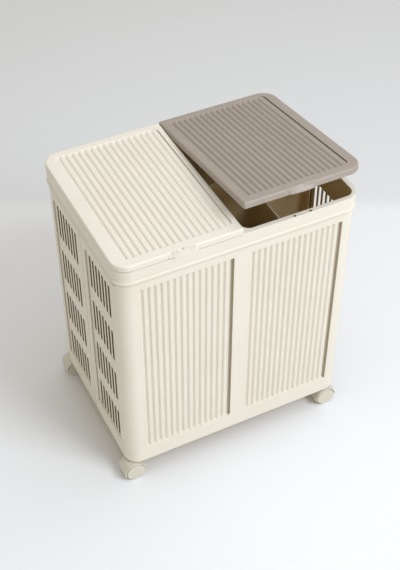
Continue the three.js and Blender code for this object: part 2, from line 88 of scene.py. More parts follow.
class Graph:
    """A node tree whose nodes are added and wired by name."""

    def __init__(self, tree: bpy.types.NodeTree) -> None:
        """Takes the tree to fill."""
        self.tree = tree

    def feed(self, socket: Socket, value: object) -> None:
        """Links an input or sets it.

        Args:
            socket: the input.
            value: an output to link, or a plain value.
        """
        if isinstance(value, Socket):
            self.tree.links.new(value, socket)
        else:
            socket.default_value = value

    def wire(self, node: bpy.types.Node, **wires: object) -> bpy.types.Node:
        """Feeds a node's inputs.

        Args:
            node: the node.
            wires: inputs by name, underscores for spaces.

        Returns:
            The node.
        """
        for key, value in wires.items():
            self.feed(node.inputs[key.replace("_", " ")], value)
        return node

    def node(self, kind: str, settings: dict | None = None, **wires: object) -> bpy.types.Node:
        """Adds a node.

        Args:
            kind: the node's type.
            settings: properties set on the node itself.
            wires: inputs by name, underscores for spaces.

        Returns:
            The node.
        """
        node = self.tree.nodes.new(kind)
        for key, value in (settings or {}).items():
            setattr(node, key, value)
        return self.wire(node, **wires)

    def maths(self, operation: str, a: object, b: object = 0.0) -> Socket:
        """Adds a maths node.

        Args:
            operation: the operation's name.
            a: first socket or number.
            b: second socket or number.

        Returns:
            The result's socket.
        """
        node = self.node("ShaderNodeMath", {"operation": operation})
        self.feed(node.inputs[0], a)
        self.feed(node.inputs[1], b)
        return node.outputs[0]

    def ranged(self, value: Socket, span: Flat, ends: tuple = (0.0, 1.0), ease: str = "LINEAR") -> Socket:
        """Adds a clamped Map Range node.

        Args:
            value: what is mapped.
            span: the values that become the ends.
            ends: the results, sockets or numbers.
            ease: LINEAR or SMOOTHSTEP.

        Returns:
            The result's socket.
        """
        return self.node(
            "ShaderNodeMapRange", {"interpolation_type": ease}, Value=value,
            From_Min=span[0], From_Max=span[1], To_Min=ends[0], To_Max=ends[1],
        ).outputs["Result"]

    def noise(self, coords: Socket, scale: float, detail: float, rough: float) -> Socket:
        """Adds a noise texture, by cycles per metre, octaves and the weight of the fine ones."""
        node = self.node("ShaderNodeTexNoise", Vector=coords, Scale=scale, Detail=detail, Roughness=rough)
        return node.outputs["Fac"]

    def mixed(self, share: object, a: object, b: object, blend: str = "MIX") -> Socket:
        """Mixes two colours.

        Args:
            share: how much of the second one.
            a: first colour.
            b: second colour.
            blend: MIX or MULTIPLY.

        Returns:
            The colour's socket.
        """
        node = self.node("ShaderNodeMix", {"data_type": "RGBA", "blend_type": blend})
        for index, value in ((0, share), (6, a), (7, b)):
            self.feed(node.inputs[index], value)
        return node.outputs[2]


class Group(Graph):
    """A node group with named inputs and outputs."""

    def __init__(self, name: str, family: str, inputs: Sequence[tuple], outputs: Sequence[tuple]) -> None:
        """Starts the group.

        Args:
            name: name of the group.
            family: Shader or Geometry.
            inputs: (name, socket type, default or None) of each input.
            outputs: (name, socket type) of each output.
        """
        super().__init__(bpy.data.node_groups.new(name, f"{family}NodeTree"))
        sockets = self.tree.interface
        self.keys: dict[str, str] = {}
        for label, kind, default in inputs:
            socket = sockets.new_socket(name=label, in_out="INPUT", socket_type=f"NodeSocket{kind}")
            self.keys[label] = socket.identifier
            if default is not None:
                socket.default_value = default
        for label, kind in outputs:
            sockets.new_socket(name=label, in_out="OUTPUT", socket_type=f"NodeSocket{kind}")
        self.start = self.tree.nodes.new("NodeGroupInput")
        self.end = self.tree.nodes.new("NodeGroupOutput")

    def given(self, name: str) -> Socket:
        """Socket of a named input."""
        return self.start.outputs[name]


class SharedEffects:
    """The shader groups that more than one finish uses, each built once."""

    def __init__(self) -> None:
        """Builds the groups."""
        self.tint, self.grain, self.dust = self._tint(), self._grain(), self._dust()

    @staticmethod
    def _tint() -> bpy.types.NodeTree:
        """Colour of a moulding that drifts a little over its surface.

        Returns:
            The group: Coords, Base, Drift and Amount in, Color out.
        """
        group = Group("Moulded tint", "Shader", [
            ("Coords", "Vector", (0, 0, 0)), ("Base", "Color", (0.8, 0.8, 0.8, 1)),
            ("Drift", "Color", (0.7, 0.7, 0.7, 1)), ("Amount", "Float", 0.5),
        ], [("Color", "Color")])
        coords = group.given("Coords")
        cloud = group.ranged(group.noise(coords, 7.0, 3.0, 0.55), (0.35, 0.68), (0.0, 0.8))
        speck = group.ranged(group.noise(coords, 90.0, 2.0, 0.5), (0.4, 0.65), (0.0, 0.2))
        share = group.maths("MULTIPLY", group.maths("ADD", cloud, speck), group.given("Amount"))
        group.wire(group.end, Color=group.mixed(share, group.given("Base"), group.given("Drift")))
        return group.tree

    @staticmethod
    def _grain() -> bpy.types.NodeTree:
        """Fine spark-eroded grain of a mould and the slight waviness of its flats.

        Returns:
            The group: Coords, Fine, Wave, Low and High in, Height and Roughness out.
        """
        group = Group("Mould grain", "Shader", [
            ("Coords", "Vector", (0, 0, 0)), ("Fine", "Float", 0.5), ("Wave", "Float", 0.3),
            ("Low", "Float", 0.4), ("High", "Float", 0.5),
        ], [("Height", "Float"), ("Roughness", "Float")])
        coords = group.given("Coords")
        pits = group.maths("MULTIPLY", group.noise(coords, 1400.0, 2.0, 0.6), group.given("Fine"))
        waves = group.maths("MULTIPLY", group.noise(coords, 16.0, 1.0, 0.4), group.given("Wave"))
        wiped = group.noise(coords, 24.0, 4.0, 0.6)
        rough = group.ranged(wiped, (0.3, 0.7), (group.given("Low"), group.given("High")))
        group.wire(group.end, Height=group.maths("ADD", pits, waves), Roughness=rough)
        return group.tree

    @staticmethod
    def _dust() -> bpy.types.NodeTree:
        """Thin settled dust on faces that look up, in patches.

        Returns:
            The group: Coords and Amount in, Mask out.
        """
        group = Group("Settled dust", "Shader", [
            ("Coords", "Vector", (0, 0, 0)), ("Amount", "Float", 0.1),
        ], [("Mask", "Float")])
        facing = group.node("ShaderNodeNewGeometry").outputs["Normal"]
        up = group.ranged(group.node("ShaderNodeSeparateXYZ", Vector=facing).outputs["Z"], (0.3, 0.95))
        patch = group.ranged(group.noise(group.given("Coords"), 40.0, 5.0, 0.65), (0.45, 0.75))
        mask = group.maths("MULTIPLY", group.maths("MULTIPLY", up, patch), group.given("Amount"))
        group.wire(group.end, Mask=mask)
        return group.tree


# Finishes


@dataclass(frozen=True)
class Finish:
    """What all finishes share: a colour that drifts a little and a fine grain."""

    name: str
    colour: Spot
    drift: Spot
    amount: float
    smooth: float
    rough: float
    grain: float = 0.5
    wave: float = 0.6
    stretch: Spot = (1.0, 1.0, 1.0)
    bump: Flat = (0.35, 0.00025)

    def started(self, effects: SharedEffects) -> tuple:
        """Starts the material.

        Args:
            effects: the shared shader groups.

        Returns:
            The material, its graph, its shader, the object coordinates and the drifting colour.
        """
        made = bpy.data.materials.new(self.name)
        made.use_nodes = True
        graph = Graph(made.node_tree)
        coords = graph.node("ShaderNodeTexCoord").outputs["Object"]
        tint = graph.node(
            "ShaderNodeGroup", {"node_tree": effects.tint}, Coords=coords,
            Base=(*self.colour, 1), Drift=(*self.drift, 1), Amount=self.amount,
        )
        along = graph.node("ShaderNodeMapping", Vector=coords, Scale=self.stretch).outputs["Vector"]
        grain = graph.node(
            "ShaderNodeGroup", {"node_tree": effects.grain}, Coords=along,
            Fine=self.grain, Wave=self.wave, Low=self.smooth, High=self.rough,
        )
        strength, distance = self.bump
        bump = graph.node("ShaderNodeBump", Strength=strength, Distance=distance, Height=grain.outputs["Height"])
        shader = graph.wire(
            made.node_tree.nodes["Principled BSDF"],
            Roughness=grain.outputs["Roughness"], Normal=bump.outputs["Normal"],
        )
        return made, graph, shader, coords, tint.outputs["Color"]


@dataclass(frozen=True)
class MouldedPlastic(Finish):
    """An injection-moulded polypropylene: warm body colour, fine grain, a soft low gloss, and painted shade inside the
    hamper and in its creases.
    """

    dust: float = 0.08
    specular: float = 0.42
    # Painted shade: the next two colours darken the faces inside the hamper, and the faces in recesses, seams, under
    # the rim's lip and at the tab.
    inner: Spot = (0.86, 0.70, 0.43)
    crease: Spot = (0.62, 0.59, 0.52)
    dust_colour: Spot = (0.62, 0.6, 0.57)

    def material(self, effects: SharedEffects) -> bpy.types.Material:
        """Makes the material.

        Args:
            effects: the shared shader groups.

        Returns:
            The material.
        """
        made, graph, shader, coords, colour = self.started(effects)
        # Painted shade: each mark multiplies the colour down where shade falls, inside the hamper and in creases.
        for mark, shade in (("inner", self.inner), ("crease", self.crease)):
            within = graph.node("ShaderNodeAttribute", {"attribute_name": mark}).outputs["Fac"]
            colour = graph.mixed(within, colour, (*shade, 1), "MULTIPLY")
        dust = graph.node("ShaderNodeGroup", {"node_tree": effects.dust}, Coords=coords, Amount=self.dust)
        colour = graph.mixed(dust.outputs["Mask"], colour, (*self.dust_colour, 1))
        graph.wire(shader, Base_Color=colour, Specular_IOR_Level=self.specular)
        return made


@dataclass(frozen=True)
class DrawnSteel(Finish):
    """Drawn steel rod of the axles, stems and pins."""

    def material(self, effects: SharedEffects) -> bpy.types.Material:
        """Makes the material.

        Args:
            effects: the shared shader groups.

        Returns:
            The material.
        """
        made, graph, shader, _, colour = self.started(effects)
        graph.wire(shader, Base_Color=colour, Metallic=1.0)
        return made


# Outlines and mesh drafting


def arc(cx: float, cy: float, radius: float, start: float, end: float, steps: int) -> list[Flat]:
    """Points along an arc, both ends included.

    Args:
        cx: centre, first coordinate.
        cy: centre, second coordinate.
        radius: radius of the arc.
        start: first angle in degrees.
        end: last angle in degrees.
        steps: number of chords.

    Returns:
        The points in order.
    """
    turns = [math.radians(start + (end - start) * k / steps) for k in range(steps + 1)]
    return [(cx + radius * math.cos(a), cy + radius * math.sin(a)) for a in turns]


def circle(cx: float, cy: float, radius: float, sides: int = 24) -> list[Flat]:
    """Points round a circle."""
    return arc(cx, cy, radius, 0, 360 - 360 / sides, sides - 1)


def stadium(x: float, y: float, half: float, radius: float, steps: int) -> list[Flat]:
    """Outline of a slot with round ends, along X and as long as twice its half."""
    right, left = x + half - radius, x - half + radius
    return arc(right, y, radius, -90, 90, steps) + arc(left, y, radius, 90, 270, steps)


def rounded_box(x0: float, x1: float, y0: float, y1: float, radii: Sequence[float]) -> list[Flat]:
    """Outline of a rectangle with rounded corners, with the same number of points whatever the radii.

    Args:
        x0: left edge.
        x1: right edge.
        y0: near edge.
        y1: far edge.
        radii: radius at the near right, far right, far left and near left corner.

    Returns:
        The points, turning left.
    """
    a, b, c, d = (max(r, 0.01) for r in radii)
    return [
        *arc(x1 - a, y0 + a, a, -90, 0, CORNER_CHORDS),
        *arc(x1 - b, y1 - b, b, 0, 90, CORNER_CHORDS),
        *arc(x0 + c, y1 - c, c, 90, 180, CORNER_CHORDS),
        *arc(x0 + d, y0 + d, d, 180, 270, CORNER_CHORDS),
    ]


def at_height(outline: Iterable[Flat], z: float) -> list[Spot]:
    """Lifts a flat outline to a height."""
    return [(x, y, z) for x, y in outline]


def quarter(radius: float, steps: int = 4) -> list[Flat]:
    """Fillet steps from a side wall to a flat face.

    Args:
        radius: radius of the fillet.
        steps: number of chords.

    Returns:
        (inset from the wall, distance still to go to the face) of each step, from the wall to the face.
    """
    turns = [math.pi / 2 * k / steps for k in range(steps + 1)]
    return [(radius * (1 - math.cos(a)), radius * (1 - math.sin(a))) for a in turns]


def stepped(plain: Iterable[float], jumps: Iterable[float]) -> list[Flat]:
    """Coordinates of a wall's lines, twice where a recess starts or ends.

    Args:
        plain: lines where nothing jumps.
        jumps: lines where the depth jumps.

    Returns:
        (coordinate, coordinate for the recess tests), in order.
    """
    lines = [(v, v) for v in plain] + [(v, v + way * SIDE_STEP) for way in (-1, 1) for v in jumps]
    return sorted(lines, key=lambda line: line[1])


class Draft:
    """Points and faces of one moulding, in millimetres, before it becomes a Blender mesh."""

    def __init__(self) -> None:
        """Starts an empty draft."""
        self.points: list[Spot] = []
        self.faces: list[tuple[int, ...]] = []

    def ring(self, spots: Iterable[Spot]) -> list[int]:
        """Adds points.

        Args:
            spots: the points in order.

        Returns:
            Their numbers.
        """
        first = len(self.points)
        self.points.extend(spots)
        return list(range(first, len(self.points)))

    def bridge(self, a: list[int], b: list[int], skip: int = -1) -> None:
        """Joins two closed rings by quads.

        Args:
            a: first ring.
            b: second ring, with as many points.
            skip: a chord left open.
        """
        for i, start in enumerate(a):
            j = (i + 1) % len(a)
            if i != skip:
                self.faces.append((start, a[j], b[j], b[i]))

    def tube(self, rings: Sequence[Iterable[Spot]], closed: bool = False) -> None:
        """Adds a solid that runs through rings of points.

        Args:
            rings: the rings in order.
            closed: joins the last ring to the first, where both ends would be capped.
        """
        made = [self.ring(spots) for spots in rings]
        for a, b in zip(made, made[1:]):
            self.bridge(a, b)
        if closed:
            self.bridge(made[-1], made[0])
        else:
            self.faces += [tuple(made[0]), tuple(made[-1])]

    def prism(self, outline: Sequence[Flat], z0: float, z1: float) -> None:
        """Adds an upright prism."""
        self.tube([at_height(outline, z0), at_height(outline, z1)])

    def block(self, x: Flat, y: Flat, z: Flat) -> None:
        """Adds a box from its three spans."""
        self.prism([(x[0], y[0]), (x[1], y[0]), (x[1], y[1]), (x[0], y[1])], z[0], z[1])

    def lathe(self, profile: Sequence[Flat], place: Callable[[float, float, float], Spot], sides: int) -> None:
        """Adds a solid of revolution.

        Args:
            profile: (radius, height) points from axis to axis.
            place: turns (across, up, along the axis) into a point.
            sides: chords round the axis.
        """
        self.tube([
            [place(u, v, along) for u, v in circle(0, 0, max(radius, POLE), sides)] for radius, along in profile
        ])

    def piece(self, name: str, material: bpy.types.Material, turn: Matrix | None = None) -> bpy.types.Object:
        """Makes the Blender object.

        Args:
            name: name of the piece.
            material: its finish.
            turn: placing matrix in millimetres, where the draft isn't in place.

        Returns:
            The object, with faces pointing out.
        """
        mesh = bpy.data.meshes.new(name)
        mesh.from_pydata(self.points, [], self.faces)
        if turn is not None:
            mesh.transform(turn)
        mesh.transform(Matrix.Scale(MM, 4))
        shape = bmesh.new()
        shape.from_mesh(mesh)
        bmesh.ops.remove_doubles(shape, verts=shape.verts, dist=SAME_SPOT)
        bmesh.ops.recalc_face_normals(shape, faces=shape.faces)
        shape.to_mesh(mesh)
        shape.free()
        mesh.materials.append(material)
        return linked(name, mesh)


def linked(name: str, data: bpy.types.ID) -> bpy.types.Object:
    """Puts data into the scene as an object.

    Args:
        name: name of the object.
        data: its mesh, light or camera.

    Returns:
        The object.
    """
    made = bpy.data.objects.new(name, data)
    bpy.context.scene.collection.objects.link(made)
    return made


def welded(obj: bpy.types.Object, extra: bpy.types.Object) -> bpy.types.Object:
    """Adds another piece's mesh to a piece and removes the other.

    Args:
        obj: the piece that stays.
        extra: the piece that goes into it.

    Returns:
        The piece that stays.
    """
    both = bmesh.new()
    both.from_mesh(obj.data)
    both.from_mesh(extra.data)
    both.to_mesh(obj.data)
    both.free()
    bpy.data.objects.remove(extra)
    return obj


def marked(
    obj: bpy.types.Object, rule: Callable[[Vector, Vector], float] | None = None, name: str = "inner",
) -> bpy.types.Object:
    """Marks the faces that get painted shade, inside the hamper or in a crease, for the finish to read.

    Args:
        obj: the piece.
        rule: says from a face's centre and normal, in millimetres, how strong its mark is. Without one, all are full.
        name: the attribute of the painted shade inside the hamper, or of the painted shade in creases.

    Returns:
        The piece.
    """
    marks = obj.data.attributes.new(name, "FLOAT", "FACE")
    values = [1.0 if rule is None else rule(face.center / MM, face.normal) for face in obj.data.polygons]
    marks.data.foreach_set("value", values)
    return obj


def carved(obj: bpy.types.Object, cutter: bpy.types.Object) -> bpy.types.Object:
    """Cuts one solid out of a piece and removes the cutter.

    Args:
        obj: the piece.
        cutter: the solid taken out of it.

    Returns:
        The piece as a plain mesh.
    """
    cut = obj.modifiers.new("Cut", "BOOLEAN")
    cut.object, cut.solver = cutter, "EXACT"
    settled(obj)
    bpy.data.objects.remove(cutter)
    return obj


def settled(obj: bpy.types.Object) -> bpy.types.Object:
    """Turns an object with live modifiers into a plain mesh.

    Args:
        obj: the object.

    Returns:
        The same object, with its modifiers applied.
    """
    bpy.context.view_layer.update()
    graph = bpy.context.evaluated_depsgraph_get()
    mesh = bpy.data.meshes.new_from_object(obj.evaluated_get(graph), preserve_all_data_layers=True, depsgraph=graph)
    old = obj.data
    obj.modifiers.clear()
    obj.data = mesh
    mesh.name = obj.name
    bpy.data.meshes.remove(old)
    return obj


def softened(obj: bpy.types.Object, radius: float = 0.0, limit: float = 34.0) -> bpy.types.Object:
    """Rounds the edges of a piece and shades it as one moulding.

    Args:
        obj: the piece.
        radius: edge radius in millimetres, or zero for none.
        limit: angle in degrees past which an edge is rounded.

    Returns:
        The piece as a plain mesh.
    """
    for face in obj.data.polygons:
        face.use_smooth = True
    if radius > 0:
        bevel = obj.modifiers.new("Edge radius", "BEVEL")
        bevel.width = radius * MM
        bevel.segments = 2
        bevel.limit_method = "ANGLE"
        bevel.angle_limit = math.radians(limit)
        bevel.use_clamp_overlap = True
        bevel.miter_outer = "MITER_ARC"
    weights = obj.modifiers.new("Face weights", "WEIGHTED_NORMAL")
    weights.keep_sharp = True
    weights.weight = 60
    return settled(obj)


# Geometry Nodes trees


class Tree(Group):
    """A Geometry Nodes tree that takes a geometry and a material besides its named inputs."""

    def __init__(self, name: str, inputs: Sequence[tuple]) -> None:
        """Starts the tree.

        Args:
            name: name of the tree.
            inputs: (name, socket type, default) of each named input.
        """
        ends = ("Geometry", "Geometry", None), ("Material", "Material", None)
        super().__init__(name, "Geometry", [ends[0], *inputs, ends[1]], [("Geometry", "Geometry")])
        self.tree.is_modifier = True

    def vector(self, x: object = 0.0, y: object = 0.0, z: object = 0.0) -> Socket:
        """Adds a Combine XYZ node and returns its socket."""
        return self.node("ShaderNodeCombineXYZ", X=x, Y=y, Z=z).outputs[0]

    def close(self, geometry: Socket) -> None:
        """Ends the tree in Realize Instances and Set Material.

        Args:
            geometry: what the tree has made.
        """
        real = self.node("GeometryNodeRealizeInstances", Geometry=geometry)
        dressed = self.node("GeometryNodeSetMaterial", Geometry=real.outputs[0], Material=self.given("Material"))
        self.tree.links.new(dressed.outputs[0], self.end.inputs[0])

    def put(self, obj: bpy.types.Object, **values: object) -> None:
        """Puts the tree on an object as a modifier.

        Args:
            obj: the object.
            values: the inputs by name.
        """
        modifier = obj.modifiers.new(self.tree.name, "NODES")
        modifier.node_group = self.tree
        for name, value in values.items():
            modifier[self.keys[name]] = value


@dataclass(frozen=True)
class Grooves:
    """A row of grooves: how many, their spacing, the place of the first and their section."""

    count: int
    pitch: float
    first: float
    half: float
    end: float
    depth: float
    land: float
    sole: float = 0.7

    @property
    def thick(self) -> float:
        """Thickness of the slab that they are cut in."""
        return self.depth + self.sole


class GroovedPanel(Tree):
    """A thin slab with a row of grooves along Y in its upper face, each with rounded ends."""

    def __init__(self) -> None:
        """Builds the tree."""
        super().__init__("Grooved panel", [
            ("Count", "Int", 10), ("Pitch", "Float", 0.0129), ("First", "Float", 0.006),
            ("Width", "Float", 0.2), ("Length", "Float", 0.4), ("Run", "Float", 0.39),
            ("Half", "Float", 0.003), ("End", "Float", 0.002), ("Depth", "Float", 0.0016),
            ("Thick", "Float", 0.002), ("Chords", "Int", 16), ("Rows", "Int", 72),
        ])
        columns = self.maths("ADD", self.maths("MULTIPLY", self.given("Count"), self.given("Chords")), 1.0)
        grid = self.node(
            "GeometryNodeMeshGrid", Size_X=self.given("Width"), Size_Y=2.0,
            Vertices_X=columns, Vertices_Y=self.given("Rows"),
        )
        sheet = self.node("GeometryNodeSetPosition", Geometry=grid.outputs[0], Position=self._crowded_rows())
        slab = self.node(
            "GeometryNodeExtrudeMesh", {"mode": "FACES"}, Mesh=sheet.outputs[0],
            Offset=self.vector(z=self.given("Thick")), Offset_Scale=1.0, Individual=False,
        )
        under = self.node("GeometryNodeFlipFaces", Mesh=sheet.outputs[0])
        both = self.node("GeometryNodeJoinGeometry")
        for part in (slab.outputs["Mesh"], under.outputs[0]):
            self.tree.links.new(part, both.inputs[0])
        sunk = self.node("GeometryNodeSetPosition", Geometry=both.outputs[0], Offset=self.vector(z=self._sink()))
        self.close(self.node("GeometryNodeMergeByDistance", Geometry=sunk.outputs[0], Distance=1e-6).outputs[0])

    def _place(self) -> bpy.types.Node:
        """Adds the split position of each point."""
        return self.node("ShaderNodeSeparateXYZ", Vector=self.node("GeometryNodeInputPosition").outputs[0])

    def _crowded_rows(self) -> Socket:
        """Spreads the rows along the length, closer together towards both ends.

        Returns:
            The position of each point.
        """
        spot, half = self._place(), self.maths("MULTIPLY", self.given("Length"), 0.5)
        eased = self.maths("SINE", self.maths("MULTIPLY", spot.outputs["Y"], math.pi / 2))
        return self.vector(x=spot.outputs["X"], y=self.maths("MULTIPLY", eased, half))

    def _sink(self) -> Socket:
        """Depth of the grooves under each point of the upper face.

        Returns:
            The offset along Z, zero on the under face.
        """
        maths, given, spot = self.maths, self.given, self._place()
        start = maths("SUBTRACT", maths("MULTIPLY", given("Width"), 0.5), given("First"))
        gone = maths("ADD", spot.outputs["X"], start)
        step = maths("ROUND", maths("DIVIDE", gone, given("Pitch")))
        step = maths("MAXIMUM", maths("MINIMUM", step, maths("SUBTRACT", given("Count"), 1.0)), 0.0)
        across = maths("SUBTRACT", gone, maths("MULTIPLY", step, given("Pitch")))
        straight = maths("SUBTRACT", maths("MULTIPLY", given("Run"), 0.5), given("End"))
        beyond = maths("MAXIMUM", maths("SUBTRACT", maths("ABSOLUTE", spot.outputs["Y"]), straight), 0.0)
        u, v = maths("DIVIDE", across, given("Half")), maths("DIVIDE", beyond, given("End"))
        away = maths("SQRT", maths("ADD", maths("MULTIPLY", u, u), maths("MULTIPLY", v, v)))
        eased = self.ranged(away, (0.0, 1.0), (1.0, 0.0), "SMOOTHSTEP")
        upper = maths("GREATER_THAN", spot.outputs["Z"], maths("MULTIPLY", given("Thick"), 0.5))
        return maths("MULTIPLY", maths("MULTIPLY", maths("MULTIPLY", eased, given("Depth")), upper), -1.0)

    def panel(
        self, name: str, grooves: Grooves, size: Flat, material: bpy.types.Material, place: Matrix,
    ) -> bpy.types.Object:
        """Makes one grooved panel as a piece.

        Args:
            name: name of the piece.
            grooves: its row of grooves.
            size: width and length of the slab.
            material: its finish.
            place: placing matrix, in millimetres.

        Returns:
            The piece as a plain mesh in place.
        """
        made = linked(name, bpy.data.meshes.new(name))
        lengths = {
            "Pitch": grooves.pitch, "First": grooves.first, "Width": size[0], "Length": size[1],
            "Run": size[1] - 2 * grooves.land, "Half": grooves.half, "End": grooves.end,
            "Depth": grooves.depth, "Thick": grooves.thick,
        }
        scaled = {label: value * MM for label, value in lengths.items()}
        self.put(made, Count=grooves.count, Material=material, **scaled)
        settled(made)
        made.data.transform(Matrix.Scale(MM, 4) @ place @ Matrix.Scale(1 / MM, 4))
        shape = bmesh.new()
        shape.from_mesh(made.data)
        bmesh.ops.recalc_face_normals(shape, faces=shape.faces)
        for face in shape.faces:
            face.smooth = True
        for edge in shape.edges:
            edge.smooth = edge.calc_face_angle(0.0) < math.radians(60)
        shape.to_mesh(made.data)
        shape.free()
        return made


class SlotBank(Tree):
    """Cuts one row of upright slots with rounded ends through the wall it is put on, along Y."""

    def __init__(self) -> None:
        """Builds the tree."""
        super().__init__("Slot bank", [
            ("Count", "Int", 7), ("Pitch", "Float", 0.0154), ("First", "Vector", (0, 0, 0)),
            ("Width", "Float", 0.007), ("Height", "Float", 0.08), ("Corner", "Float", 0.0026),
            ("Reach", "Float", 0.016),
        ])
        given = self.given
        blank = self.node("GeometryNodeCurvePrimitiveQuadrilateral", Width=given("Width"), Height=given("Height"))
        outline = self.node(
            "GeometryNodeFilletCurve", {"mode": "POLY"}, Curve=blank.outputs[0], Radius=given("Corner"),
            Count=4, Limit_Radius=True,
        )
        near, far = (self.vector(z=self.maths("MULTIPLY", given("Reach"), share)) for share in (-0.5, 0.5))
        run = self.node("GeometryNodeCurvePrimitiveLine", Start=near, End=far)
        plug = self.node(
            "GeometryNodeCurveToMesh", Curve=run.outputs[0], Profile_Curve=outline.outputs[0], Fill_Caps=True,
        )
        turn = (math.radians(90), 0.0, math.radians(90))
        upright = self.node("GeometryNodeTransform", Geometry=plug.outputs[0], Rotation=turn)
        places = self.node(
            "GeometryNodeMeshLine", {"mode": "OFFSET"}, Count=given("Count"),
            Start_Location=given("First"), Offset=self.vector(y=given("Pitch")),
        )
        row = self.node("GeometryNodeInstanceOnPoints", Points=places.outputs[0], Instance=upright.outputs[0])
        plugs = self.node("GeometryNodeRealizeInstances", Geometry=row.outputs[0])
        cut = self.node("GeometryNodeMeshBoolean", {"operation": "DIFFERENCE", "solver": "EXACT"})
        for socket, solid in zip(cut.inputs, (given("Geometry"), plugs.outputs[0])):
            self.tree.links.new(solid, socket)
        self.close(cut.outputs[0])


# Sub-assemblies


@dataclass
class Envelope:
    """Sizes that the mouldings share, in millimetres: the outline, the rim, the mouths and the hinges."""

    half_width: float = 260.0
    half_depth: float = 188.0
    corner: float = 33.0
    wall: float = 2.2
    collar_bottom: float = 573.4
    collar_top: float = 606.0
    lid_top: float = 619.7
    flange: float = 3.0
    beam_half: float = 6.0
    mouth_side: float = 11.0
    mouth_front: float = 11.0
    mouth_back: float = 23.0
    hinge: Flat = (193.6, 608.0)
    hinge_inset: float = 50.0
    barrel: float = 5.0
    bore: float = 2.3
    knuckle: float = 14.0

    def hinge_places(self, side: int) -> list[float]:
        """Middle of each hinge on one side."""
        return [side * self.hinge_inset, side * (self.half_width - self.hinge_inset)]

    def skin(self, spot: Vector) -> tuple[float, Vector]:
        """Finds how deep a place lies under the outline.

        Args:
            spot: the place, in millimetres.

        Returns:
            Its depth and the way out.
        """
        x, y = abs(spot.x), abs(spot.y)
        near = Vector((x - self.half_width + self.corner, y - self.half_depth + self.corner))
        if near.x > 0 and near.y > 0:
            depth, way = self.corner - near.length, near.normalized()
        elif near.x > near.y:
            depth, way = self.half_width - x, Vector((1.0, 0.0))
        else:
            depth, way = self.half_depth - y, Vector((0.0, 1.0))
        return depth, Vector((math.copysign(way.x, spot.x), math.copysign(way.y, spot.y)))


@dataclass(frozen=True)
class Recess:
    """A sunk field of a wall: its span on each side of the middle, its height and its depth."""

    span: Flat = (0.0, 0.0)
    height: Flat = (0.0, 0.0)
    depth: float = 0.0

    def jumps(self, line: Flat, wall: float) -> list[float]:
        """Where the depth jumps along a line, on the face and on the pad behind it."""
        return [line[0] - wall, line[0], line[1], line[1] + wall]

    def at(self, across: float, z: float, grow: float = 0.0) -> float:
        """Finds the depth at a place.

        Args:
            across: coordinate across the wall.
            z: height.
            grow: how far the field is widened, for the pad behind it.

        Returns:
            The depth, or zero where the wall is plain.
        """
        level = self.height[0] - grow < z < self.height[1] + grow
        return self.depth if level and self.span[0] - grow < abs(across) < self.span[1] + grow else 0.0


